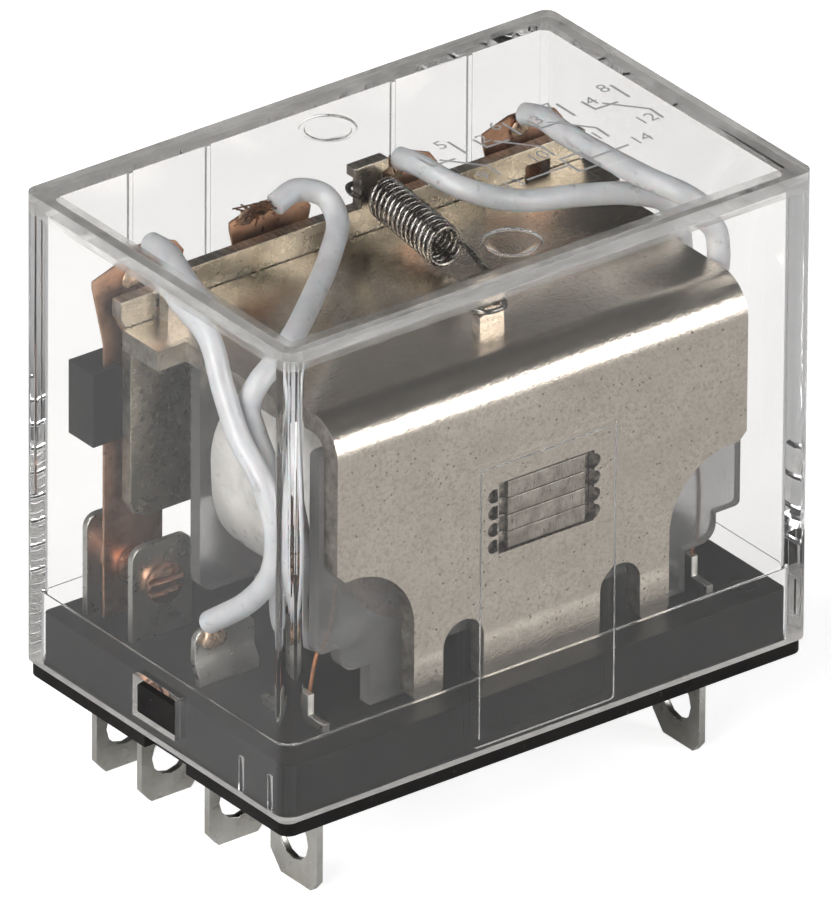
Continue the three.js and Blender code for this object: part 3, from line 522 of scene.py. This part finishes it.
def curve_points(route, per_span=8):
    """A centripetal Catmull-Rom curve through the route, as the CAD solids have."""
    p = np.array(route, float)
    p = np.vstack([2 * p[0] - p[1], p, 2 * p[-1] - p[-2]])
    out = []
    for i in range(1, len(p) - 2):
        quad = p[i - 1:i + 3]
        t = np.concatenate([[0], np.cumsum(np.linalg.norm(np.diff(quad, axis=0), axis=1) ** 0.5)])
        for s in np.linspace(t[1], t[2], per_span, endpoint=False):
            a = [((t[k + 1] - s) * quad[k] + (s - t[k]) * quad[k + 1]) / (t[k + 1] - t[k]) for k in range(3)]
            b = [((t[k + 2] - s) * a[k] + (s - t[k]) * a[k + 1]) / (t[k + 2] - t[k]) for k in range(2)]
            out.append(((t[2] - s) * b[0] + (s - t[1]) * b[1]) / (t[2] - t[1]))
    out.append(p[-2])
    return np.array(out)


def tube(path, radius, sides=12, ends=True):
    """Points and faces of a tube along a path. The radius is a number, or one for each path point."""
    path = np.array(path, float)
    radii = np.broadcast_to(np.asarray(radius, float), len(path))
    tangents = np.gradient(path, axis=0)
    tangents /= np.linalg.norm(tangents, axis=1)[:, None]
    side = np.cross(tangents[0], (0.0, 0.0, 1.0))
    if np.linalg.norm(side) < 0.1:
        side = np.cross(tangents[0], (0.0, 1.0, 0.0))
    points, faces = [], []
    angles = 2 * np.pi * np.arange(sides) / sides
    for p, t, r in zip(path, tangents, radii):
        side = side - t * (side @ t)
        side /= np.linalg.norm(side)
        up = np.cross(t, side)
        points.extend(p + r * (math.cos(a) * side + math.sin(a) * up) for a in angles)
    for i in range(len(path) - 1):
        for j in range(sides):
            k = (j + 1) % sides
            faces.append((i * sides + j, i * sides + k, (i + 1) * sides + k, (i + 1) * sides + j))
    if ends:
        faces.append(tuple(reversed(range(sides))))
        faces.append(tuple((len(path) - 1) * sides + j for j in range(sides)))
    return points, faces


def merged(name, parts):
    """One mesh from several lists of points and faces."""
    points, faces = [], []
    for more_points, more_faces in parts:
        start = len(points)
        points.extend(more_points)
        faces.extend(tuple(i + start for i in face) for face in more_faces)
    return mesh_of(name, points, faces)


def rounded_ends(path, radius, steps=4):
    """The path with short end pieces added, and radii that close it like a cut soft sleeve."""
    path = np.array(path, float)
    first, last = path[0] - path[1], path[-1] - path[-2]
    first, last = first / np.linalg.norm(first), last / np.linalg.norm(last)
    turns = np.linspace(0.15, 1.0, steps) * math.pi / 2
    reach, shrink = 0.14 * radius * np.cos(turns), np.sin(turns)
    head = [path[0] + first * r for r in reach]
    tail = [path[-1] + last * r for r in reversed(reach)]
    radii = np.concatenate([radius * shrink, np.full(len(path), radius), radius * shrink[::-1]])
    return np.vstack([head, path, tail]), radii


def blob(name, centre, size, look, seed, lumps=0.12):
    """A small irregular drop, such as solder."""
    ball = bmesh.new()
    bmesh.ops.create_icosphere(ball, subdivisions=4, radius=1.0)
    shake = random.Random(seed)
    waves = [(Vector([shake.uniform(-3, 3) for _ in range(3)]), shake.uniform(0, 6.28)) for _ in range(6)]
    for vertex in ball.verts:
        swell = 1 + lumps * sum(math.sin(w.dot(vertex.co) + phase) for w, phase in waves) / 3
        vertex.co = Vector([centre[k] + vertex.co[k] * swell * size[k] for k in range(3)]) * MM
    mesh = bpy.data.meshes.new(name)
    ball.to_mesh(mesh)
    ball.free()
    return smooth(new_object(name, mesh, look), 180)


# ---------------------------------------------------------------- fixed frame: cover, base, blades

def cover():
    # The cuts lie just inside the 1.3 mm walls, so that they never run along one of the cover's faces.
    piece = refined("cover", "clear", 0.14, 2)
    wall = 1.34
    edge_top = 1.2
    corner = CAD_BOX[1] / MM
    split(piece, {"x": (wall - corner.x, corner.x - wall), "y": (wall - corner.y, corner.y - wall),
                  "z": (corner.z - wall,)})
    # Painted light: the walls' lower end faces glow faintly.
    recolour(piece, "frosted", lambda c, n: n.z < -0.9 and c.z < edge_top)
    # Painted light and shade: the top edges get the streaked grey rim look.
    recolour(piece, "rim", lambda c, n: c.z > corner.z - wall
             and (abs(c.x) > corner.x - wall or abs(c.y) > corner.y - wall))
    place(piece, FIXED, "clear_cover", "cover")
    piece.visible_shadow = False


def stroke(points, width, z):
    """A printed line: a flat strip along the points."""
    p = [Vector(q) for q in points]
    left, right = [], []
    for i, point in enumerate(p):
        before = (point - p[i - 1]).normalized() if i else None
        after = (p[i + 1] - point).normalized() if i + 1 < len(p) else None
        along = ((before or after) + (after or before)).normalized()
        across = Vector((-along.y, along.x))
        stretch = 1 / max(0.5, across.dot(Vector((-(after or before).y, (after or before).x))))
        left.append((*(point + across * width / 2 * stretch), z))
        right.append((*(point - across * width / 2 * stretch), z))
    n = len(p)
    faces = [(i, i + n, i + n + 1, i + 1) for i in range(n - 1)]
    return left + right, faces


def printed_number(text, centre, height, z):
    """A number as flat faces, centred on a point of the cover's top."""
    data = bpy.data.curves.new("number", "FONT")
    data.body = text
    data.size = height * 1.4 * MM
    data.align_x = "CENTER"
    data.align_y = "CENTER"
    data.resolution_u = 4
    label = bpy.data.objects.new("number", data)
    SCENE.collection.objects.link(label)
    bpy.context.view_layer.update()
    mesh = label.to_mesh()
    points = [(v.co.x / MM + centre[0], v.co.y / MM + centre[1], z) for v in mesh.vertices]
    faces = [tuple(f.vertices) for f in mesh.polygons]
    label.to_mesh_clear()
    bpy.data.objects.remove(label)
    return points, faces


def cover_print():
    """A generic contact diagram with pin numbers, on top of the cover."""
    z, width = PRINT_Z, PRINT_WIDTH
    parts = []
    for pole in range(4):
        x = 4.5 + 4.3 * pole
        parts.append(stroke([(x, 3.0), (x, 1.0)], width, z))
        parts.append(stroke([(x - 2.85, 2.3), (x - 2.75, 0.95), (x - 1.0, 0.9)], width, z))
        parts.append(stroke([(x - 1.9, 1.35), (x + 0.05, -1.05), (x, -2.5)], width, z))
        parts.append(printed_number(str(pole + 5), (x - 0.65, 2.85), PRINT_HEIGHT, z))
        parts.append(printed_number(str(pole + 1), (x - 2.3, 1.95), PRINT_HEIGHT, z))
        parts.append(printed_number(str(pole + 9), (x - 0.95, -2.0), PRINT_HEIGHT, z))
    box = [(8.75, -3.1), (10.35, -3.1), (10.35, -5.1), (8.75, -5.1), (8.75, -3.0)]
    parts.append(stroke(box, width, z))
    parts.append(stroke([(8.7, -4.05), (5.4, -4.05)], width, z))
    parts.append(stroke([(10.4, -4.1), (13.4, -4.1)], width, z))
    parts.append(printed_number("13", (4.35, -4.05), PRINT_HEIGHT, z))
    parts.append(printed_number("14", (14.55, -3.95), PRINT_HEIGHT, z))
    piece = new_object("cover_print", merged("cover_print", parts), "print")
    place(piece, FIXED, "lead_sleeve")
    piece.visible_shadow = False


def base():
    place(refined("base", "black", 0.08, 2), FIXED, "black_moulding", "base")


def terminals():
    for pole in range(4):
        for node in (f"nc_terminal_{pole + 1}", f"no_terminal_{pole + 5}", f"com_terminal_{pole + 9}"):
            place(refined(node, "tin", 0.05), FIXED, "tinned_brass", node)
    for node in ("coil_terminal_13", "coil_terminal_14"):
        place(refined(node, "tin", 0.05), FIXED, "tinned_brass", node)


# ---------------------------------------------------------------- contacts

def lathe(profile, sides, centre):
    """Points and faces of a solid turned about Y. The profile is (radius, y) from one pole to the other."""
    x, z = centre
    points = [(x, profile[0][1], z)]
    for radius, y in profile[1:-1]:
        for j in range(sides):
            angle = 2 * math.pi * j / sides
            points.append((x + radius * math.cos(angle), y, z + radius * math.sin(angle)))
    points.append((x, profile[-1][1], z))
    last = len(points) - 1
    rings = len(profile) - 2
    faces = []
    for j in range(sides):
        k = (j + 1) % sides
        faces.append((0, 1 + j, 1 + k))
        for i in range(rings - 1):
            a, b = 1 + i * sides, 1 + (i + 1) * sides
            faces.append((a + j, b + j, b + k, a + k))
        faces.append((last, last - sides + k, last - sides + j))
    return points, faces


def pressed(point, middle, tail_face, out):
    """The point moved in where a peening tool's two level ridges pressed the tail."""
    x, y, z = point
    ridge, half_width, depth = 0.42, 0.17, 0.24
    distance = abs(abs(z - middle) - ridge)
    if distance > half_width or (tail_face - y) * out < 0.15:
        return point
    return x, y + out * depth * (1 + math.cos(math.pi * distance / half_width)) / 2, z


def contact(node, body, crown_face, tail_face, grooved):
    """A riveted contact: a domed crown, a shank through the sheet and a peened tail."""
    low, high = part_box(node)
    x = (low.x + high.x) / 2 / MM
    z = (low.z + high.z) / 2 / MM
    out = 1 if crown_face > tail_face else -1
    radius, shank, head = 1.40, 0.74, 0.68
    crown_top, tail_end = crown_face + out * head, tail_face - out * head
    crown = [(radius * math.sin(a), crown_top - out * 0.42 * (1 - math.cos(a)))
             for a in np.linspace(0.0, math.pi / 2, 7)]
    tail = [(radius * r, tail_end + out * 0.3 * (1 - math.sqrt(1 - (0.97 * r) ** 2)))
            for r in np.linspace(1.0, 0.0, 18)]
    profile = crown + [
        (radius, crown_face + out * 0.06), (radius - 0.05, crown_face + out * 0.03),
        (shank, crown_face + out * 0.03), (shank, tail_face - out * 0.03),
        (radius - 0.05, tail_face - out * 0.03), (radius, tail_face - out * 0.1),
    ] + tail
    if out > 0:
        profile.reverse()
    points, faces = lathe(profile, 64, (x, z))
    if grooved:
        points = [pressed(p, z, tail_face, out) for p in points]
    piece = new_object(node + "_fine", mesh_of(node + "_fine", points, faces), "contact")
    smooth(piece, 50)
    place(piece, body, "silver_contact", node)


def contacts():
    nc, no, sheet, strip = 10.6, 5.8, 0.5, 8.85
    for pole in range(4):
        contact(f"nc_contact_{pole + 1}", FIXED, nc, nc + sheet, False)
        contact(f"no_contact_{pole + 5}", FIXED, no + sheet, no, True)
        contact(f"moving_contact_{pole + 1}", MOVING, strip + 0.2, strip, False)


# ---------------------------------------------------------------- electromagnet

def yoke():
    # The staking grooves and the core's slot lie within this half width and height of the front wall.
    half_width, low, high = 5.3, 13.2, 18.9
    piece = refined("yoke", "nickel", 0.12, 3)
    recolour(piece, "cut_edge_and_shade", lambda c, n: abs(n.x) > 0.9 or n.z < -0.9 or (n.y > 0.9 and c.y > 6.5))
    # Painted shade: the walls of the core's slot and of the staking grooves, and the grooves' floors, are
    # coloured dark.
    recolour(piece, "shade", lambda c, n: n.y > -0.75 and -10.45 < c.y < -9.0
             and abs(c.x - MAGNET_X) < half_width and low < c.z < high)
    recolour(piece, "shade", lambda c, n: n.y < -0.9 and -10.2 < c.y < -9.6
             and abs(c.x - MAGNET_X) < half_width)
    place(piece, FIXED, "nickel_plate", "yoke")


def core():
    for i in range(4):
        node = f"core_lamination_{i + 1}"
        piece = refined(node, "core", 0.09, 2)
        # Painted shade: near the front, the sheets' faces in the seams between them and inside the yoke's
        # slot are coloured dark.
        recolour(piece, "shade", lambda c, n: c.y < -9.6 and (n.y > -0.8 or c.y > -10.15))
        place(piece, FIXED, "core_steel", node)
    place(refined("shading_ring", "copper", 0.08), FIXED, "copper", "shading_ring")


def bobbin():
    place(refined("bobbin", "natural", 0.15, 3), FIXED, "natural_plastic", "bobbin")


def rounded_loop(half_x, half_z, corner, centre, count=96):
    """Points evenly spread round a rounded rectangle in (x, z)."""
    corners = [(1, 1, 0), (-1, 1, 90), (-1, -1, 180), (1, -1, 270)]
    dense = []
    for sx, sz, start in corners:
        for angle in np.linspace(start, start + 90, 24):
            a = math.radians(angle)
            x = sx * (half_x - corner) + corner * math.cos(a)
            z = sz * (half_z - corner) + corner * math.sin(a)
            dense.append((x, z))
    dense = np.array(dense + dense[:1])
    lengths = np.concatenate([[0], np.cumsum(np.linalg.norm(np.diff(dense, axis=0), axis=1))])
    spots = np.linspace(0, lengths[-1], count, endpoint=False)
    x = np.interp(spots, lengths, dense[:, 0]) + centre[0]
    z = np.interp(spots, lengths, dense[:, 1]) + centre[1]
    return np.stack([x, z], 1)


def loft(loops, closed=True):
    """Points and faces through rings of equal length; each ring is a list of (x, y, z)."""
    count = len(loops[0])
    points = [tuple(p) for loop in loops for p in loop]
    faces = []
    rings = len(loops)
    for i in range(rings if closed else rings - 1):
        a, b = i * count, ((i + 1) % rings) * count
        for j in range(count):
            k = (j + 1) % count
            faces.append((a + j, a + k, b + k, b + j))
    return points, faces


def ring_body(name, y_range, half, corner, sheet, steps, push, shift):
    """A sleeve round the coil. push(y, angle) moves its outside out, and shift(angle) its front edge."""
    low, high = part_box("coil_winding")
    centre = ((low.x + high.x) / 2 / MM, (low.z + high.z) / 2 / MM)
    outer = rounded_loop(half[0], half[1], corner, centre)
    inner = rounded_loop(half[0] - sheet, half[1] - sheet, corner - sheet, centre)
    around = np.linspace(0, 2 * math.pi, len(outer), endpoint=False)
    outward = outer - inner
    outward /= np.linalg.norm(outward, axis=1)[:, None]
    loops = []
    spots = np.linspace(0, 1, steps)
    for s in spots:
        ring = []
        for p, n, a in zip(outer, outward, around):
            y = y_range[0] + shift(a) + s * (y_range[1] - y_range[0] - shift(a))
            q = p + n * push(y, a)
            ring.append((q[0], y, q[1]))
        loops.append(ring)
    for s in (1.0, 0.0):
        loops.append([(p[0], y_range[0] + shift(a) + s * (y_range[1] - y_range[0] - shift(a)), p[1])
                      for p, a in zip(inner, around)])
    points, faces = loft(loops)
    return merged(name, [(points, faces)])


def coil():
    wave = lambda y, a: 0.04 * math.sin(2 * math.pi * (y / COIL_TURN_PITCH + a / (2 * math.pi))) - 0.08
    mesh = ring_body("coil_winding_fine", (-7.95, 3.9), (13.75, 6.5), 5.5, 2.4, 220, wave, lambda a: 0.0)
    place(smooth(new_object("coil_winding_fine", mesh, "copper"), 60), FIXED, "copper_wire", "coil_winding")

    shake = random.Random(11)
    ripples = [(shake.uniform(0.3, 1.6), shake.randint(2, 9), shake.uniform(0, 6.28)) for _ in range(9)]
    crumple = lambda y, a: 0.05 * sum(math.sin(f * y + k * a + p) for f, k, p in ripples) / 3
    torn = lambda a: 0.5 * math.sin(3 * a + 1) + 0.25 * math.sin(11 * a) + 0.15 * math.sin(23 * a + 2)
    mesh = ring_body("coil_tape_fine", (-6.0, 3.92), (14.0, 6.75), 5.75, 0.16, 60, crumple, torn)
    place(smooth(new_object("coil_tape_fine", mesh, "tape"), 60), FIXED, "white_tape", "coil_tape")


# ---------------------------------------------------------------- moving group

def armature():
    piece = refined("armature", "armature", 0.08, 2)
    recolour(piece, "cut_edge_and_shade", lambda c, n: abs(n.x) > 0.9 or abs(n.z) > 0.9)
    place(piece, MOVING, "nickel_plate", "armature")

    # Rows of small craters pressed into the front face; they get the dark cut-edge look as painted shade in
    # the dimples.
    parts = []
    sides, face_y = 10, 7.4
    left, bottom, column_pitch, row_pitch, stagger = -15.4, 13.4, 1.15, 1.0, 0.55
    rivets_x, rivets_z, rivet_room = (-10, 10), 20.5, 1.8
    for row in range(CRATER_ROWS):
        for column in range(CRATER_COLUMNS):
            x = left + column * column_pitch + stagger * (row % 2)
            z = bottom + row * row_pitch
            if any(abs(x - r) < rivet_room and abs(z - rivets_z) < rivet_room for r in rivets_x):
                continue
            rings = []
            for radius, lift in ((0.20, 0.001), (0.155, 0.022), (0.11, 0.022), (0.05, 0.003)):
                ring = [(x + radius * math.cos(2 * math.pi * j / sides), face_y - lift,
                         z + radius * math.sin(2 * math.pi * j / sides)) for j in range(sides)]
                rings.append(ring)
            points, faces = loft(rings, closed=False)
            faces.append(tuple(3 * sides + j for j in range(sides)))
            parts.append((points, faces))
    craters = new_object("armature_craters", merged("armature_craters", parts), "cut_edge_and_shade")
    place(smooth(craters, 60), MOVING, "nickel_plate")


def carrier():
    piece = refined("contact_carrier", "carrier", 0.12, 1)
    place(piece, MOVING, "black_moulding", "contact_carrier")
    for node in ("carrier_rivet_1", "carrier_rivet_2"):
        place(refined(node, "core", 0.06), MOVING, "rivet_steel", node)


def strips():
    for pole in range(4):
        node = f"moving_strip_{pole + 1}"
        place(refined(node, "bronze", 0.04), MOVING, "bronze_strip", node)


# ---------------------------------------------------------------- leads and spring

LEADS = (
    ((-15.0, 8.0, 30.5), (-15.3, 6.0, 30.8), (-16.1, 3.8, 30.9), (-16.9, 1.4, 30.8), (-17.5, -2.4, 30.0),
     (-17.8, -4.3, 27.2), (-17.8, -6.0, 24.5), (-17.7, -8.2, 22.4), (-17.5, -9.3, 19.3), (-17.3, -8.7, 16.2),
     (-17.0, -6.1, 12.9), (-16.9, -1.7, 9.35)),
    ((-5.3, 8.0, 30.2), (-3.6, 8.0, 30.7), (-2.2, 7.0, 30.3), (-2.5, 5.2, 29.4), (-4.5, 3.2, 28.6),
     (-9.3, -1.0, 28.4), (-13.4, -4.2, 28.2), (-15.6, -4.9, 27.3), (-16.15, -4.7, 25.8), (-16.15, -5.4, 24.2),
     (-16.15, -6.6, 22.4), (-15.3, -6.7, 19.0), (-14.3, -6.1, 15.0), (-13.8, -5.0, 11.0), (-12.4, -4.0, 8.1),
     (-9.4, -3.0, 6.3), (-6.6, -2.15, 6.7)),
    ((4.4, 7.9, 30.5), (4.6, 6.2, 30.7), (5.2, 3.6, 30.3), (6.6, 2.0, 29.7), (9.2, 1.2, 28.8),
     (12.9, 0.3, 28.4), (16.0, -1.0, 28.1), (18.1, -2.0, 27.3), (18.58, -2.3, 25.6),
     (18.4, -2.2, 22.0), (18.2, -1.4, 17.0),
     (17.6, 0.3, 12.0), (16.2, 1.3, 8.0), (13.0, 1.3, 6.2), (9.5, 1.1, 6.2), (6.6, 0.6, 7.0)),
    ((14.4, 7.9, 30.5), (14.5, 6.3, 30.9), (14.7, 4.0, 30.6), (15.1, 0.5, 30.4), (15.7, -3.4, 30.2),
     (16.9, -5.6, 29.6), (18.2, -6.2, 28.2), (18.58, -6.2, 26.4), (18.55, -6.0, 24.2), (18.3, -5.8, 19.0),
     (17.8, -5.2, 13.5), (16.9, -4.0, 10.6), (15.8, -2.4, 9.3)),
)
LEAD_RADIUS = 0.75

COIL_LEADS = {
    "coil_lead_a": ((-12.75, -7.5, 14.0), (-13.2, -7.5, 11.0), (-14.2, -7.55, 8.4), (-14.7, -7.6, 6.2)),
    "coil_lead_b": ((15.65, -7.5, 14.0), (15.9, -7.5, 11.0), (15.8, -7.55, 8.4), (15.65, -7.6, 6.2)),
}


def follow_armature(piece):
    """Bakes a held piece's placement into its mesh."""
    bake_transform(piece)


def strand_bundle(start, end, count, spread, seed):
    """Fine bare wires that leave a sleeve's end and splay towards a joint."""
    shake = random.Random(seed)
    start, end = np.array(start, float), np.array(end, float)
    parts = []
    for _ in range(count):
        offset = np.array([shake.gauss(0, 1) for _ in range(3)])
        middle = (start + end) / 2 + offset * spread * 0.6
        finish = end + np.array([shake.gauss(0, 1) for _ in range(3)]) * spread
        begin = start + np.array([shake.gauss(0, 1) for _ in range(3)]) * 0.16
        parts.append(tube(curve_points([begin, middle, finish], 5), STRAND_RADIUS, 5))
    return parts


def leads():
    for i, route in enumerate(LEADS):
        node = f"lead_wire_{i + 1}"
        path, radii = rounded_ends(curve_points(route, 8), LEAD_RADIUS)
        points, faces = tube(path, radii, 20)
        piece = smooth(new_object(node + "_sleeve", mesh_of(node, points, faces), "sleeve"), 60)
        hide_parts(node)
        follow_armature(piece)

    for node, route in COIL_LEADS.items():
        points, faces = tube(curve_points(route, 6), COIL_LEAD_RADIUS, 8)
        piece = smooth(new_object(node + "_fine", mesh_of(node, points, faces), "copper"), 60)
        place(piece, FIXED, "copper_wire", node)

    # Bare ends at the strips' tops, the second one frayed.
    ends = (
        ((-15.0, 8.3, 30.5), (-15.3, 8.75, 29.2), 10, 0.18),
        ((-5.7, 8.0, 30.15), (-7.0, 8.5, 29.9), 26, 0.5),
        ((4.4, 8.2, 30.4), (4.6, 8.75, 29.4), 10, 0.18),
        ((14.4, 8.2, 30.4), (14.6, 8.75, 29.4), 10, 0.18),
    )
    for i, (start, end, count, spread) in enumerate(ends):
        mesh = merged(f"strip_joint_{i + 1}", strand_bundle(start, end, count, spread, i))
        place(smooth(new_object(f"strip_joint_{i + 1}", mesh, "strands"), 60), MOVING, "copper_wire")
        centre = (end[0], 8.68, end[2] - 0.3)
        place(blob(f"strip_solder_{i + 1}", centre, (0.75, 0.22, 0.6), "solder", i), MOVING, "tinned_brass")
    for i, route in enumerate(LEADS):
        x = POLE_X[i]
        end = route[-1]
        top = (x + (end[0] - x) * 0.5, -0.95, 8.0)
        mesh = merged(f"common_joint_{i + 1}", strand_bundle(end, top, 26, 0.3, 20 + i))
        place(smooth(new_object(f"common_joint_{i + 1}", mesh, "solder"), 60), FIXED, "copper_wire")
        drop = blob(f"common_solder_{i + 1}", (top[0], -0.95, 7.7), (1.0, 0.4, 0.8), "solder", 30 + i)
        place(drop, FIXED, "tinned_brass")


def spring():
    """The return spring, hooked behind the armature's tab and round the yoke's post."""
    x, radius, turns = 2.25, 1.22, 14
    rear, front = np.array((x, 6.55, 29.0)), np.array((x, 0.15, 28.1))
    coils = []
    for s in np.linspace(0, 1, turns * 22 + 1):
        angle = 2 * math.pi * turns * s
        centre = rear + (front - rear) * s
        coils.append(centre + np.array((radius * math.cos(angle), 0, radius * math.sin(angle))))
    rear_hook = curve_points([
        (0.55, 6.9, 29.35), (0.45, 7.7, 29.35), (0.85, 8.5, 29.35), (1.9, 8.6, 29.35),
        (2.95, 8.5, 29.35), (3.4, 7.8, 29.35), (3.47, 6.95, 29.1), tuple(coils[0])], 8)
    front_hook = curve_points([
        tuple(coils[-1]), (3.3, -1.0, 28.0), (2.8, -3.2, 27.75), (2.5, -4.7, 27.6), (2.1, -5.55, 27.55),
        (1.3, -5.75, 27.55), (0.45, -5.5, 27.55), (0.2, -4.6, 27.55), (0.3, -3.7, 27.6)], 8)
    path = np.vstack([rear_hook[:-1], coils, front_hook[1:]])
    points, faces = tube(path, SPRING_WIRE_RADIUS, 10)
    piece = smooth(new_object("return_spring_fine", mesh_of("return_spring", points, faces), "spring"), 60)
    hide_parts("return_spring")
    follow_armature(piece)


# ---------------------------------------------------------------- stage, light and camera

def stage():
    """A pale floor under the blades' tips. It glows only for the eye and through the clear cover: reflected
    and scattered light sees it lit by the lamps alone, so that it does not veil the cover."""
    half = 900.0
    mesh = mesh_of("floor", [(-half, -half, FLOOR_Z), (half, -half, FLOOR_Z), (half, half, FLOOR_Z),
                             (-half, half, FLOOR_Z)], [(0, 1, 2, 3)])
    floor = bpy.data.objects.new("floor", mesh)
    SCENE.collection.objects.link(floor)
    look = Recipe("pale_floor")
    look.colour(look.ramp(look.noise(0.01, 2.0), (0.3, (0.74, 0.74, 0.74)), (0.7, (0.76, 0.76, 0.76))))
    look.shader.inputs["Roughness"].default_value = 0.9
    look.set("Specular IOR Level", 0.1)
    look.set("Emission Color", (1.0, 1.0, 1.0))
    rays = look.tree.nodes.new("ShaderNodeLightPath")
    bounces = look.combine("ADD", rays.outputs["Glossy Depth"], rays.outputs["Diffuse Depth"])
    glow = look.remap(bounces, 0.0, 1.0, 0.82, 0.0)
    look.link(glow, look.shader.inputs["Emission Strength"])
    mesh.materials.append(look.material)


def area_light(name, position, size, watts, colour=(1, 1, 1)):
    data = bpy.data.lights.new(name, "AREA")
    data.shape = "RECTANGLE"
    data.size, data.size_y = size[0] * MM, size[1] * MM
    data.energy = watts
    data.color = colour
    lamp = bpy.data.objects.new(name, data)
    lamp.location = Vector(position) * MM
    aim = Vector((0, 0, 15)) * MM - lamp.location
    lamp.rotation_euler = aim.to_track_quat("-Z", "Y").to_euler()
    SCENE.collection.objects.link(lamp)


def lights():
    area_light("front_right", (340, -540, 180), (300, 350), 1.65)
    area_light("upper_left", (-350, 60, 520), (300, 300), 1.7)
    area_light("left", (-430, -170, 210), (300, 200), 1.45)
    world = bpy.data.worlds.new("studio")
    world.use_nodes = True
    world.node_tree.nodes["Background"].inputs["Color"].default_value = (0.55, 0.56, 0.57, 1)
    world.node_tree.nodes["Background"].inputs["Strength"].default_value = 0.10
    SCENE.world = world


def camera():
    """A long lens from the front left, a little above the cover's top."""
    azimuth, elevation, roll = math.radians(-37.418), math.radians(28.404), math.radians(0.40)
    distance = 1799.0
    back = Vector((math.sin(azimuth) * math.cos(elevation), -math.cos(azimuth) * math.cos(elevation),
                   math.sin(elevation)))
    level = Vector((math.cos(azimuth), math.sin(azimuth), 0))
    right = level * math.cos(roll) + back.cross(level) * math.sin(roll)
    up = back.cross(right)
    aim = Vector((0, 0, 18.0)) - 0.15 * right - 2.45 * up
    data = bpy.data.cameras.new("camera")
    data.sensor_width = 36.0
    data.lens = 1142.2
    data.clip_start = 0.1
    data.clip_end = 20.0
    view = bpy.data.objects.new("camera", data)
    turn = Matrix((right, up, back)).transposed().to_4x4()
    view.matrix_world = Matrix.Translation((aim + back * distance) * MM) @ turn
    SCENE.collection.objects.link(view)
    SCENE.camera = view


def render_quality():
    SCENE.view_settings.view_transform = "Standard"
    cycles = SCENE.cycles
    cycles.max_bounces = 48
    cycles.transmission_bounces = 20
    cycles.glossy_bounces = 40
    cycles.transparent_max_bounces = 16
    cycles.blur_glossy = 0.0
    cycles.use_denoising = True


for build in (camera, base, terminals, contacts, yoke, core, bobbin, coil, armature, carrier, strips, leads,
              spring, cover, cover_print, stage, lights, render_quality):
    build()
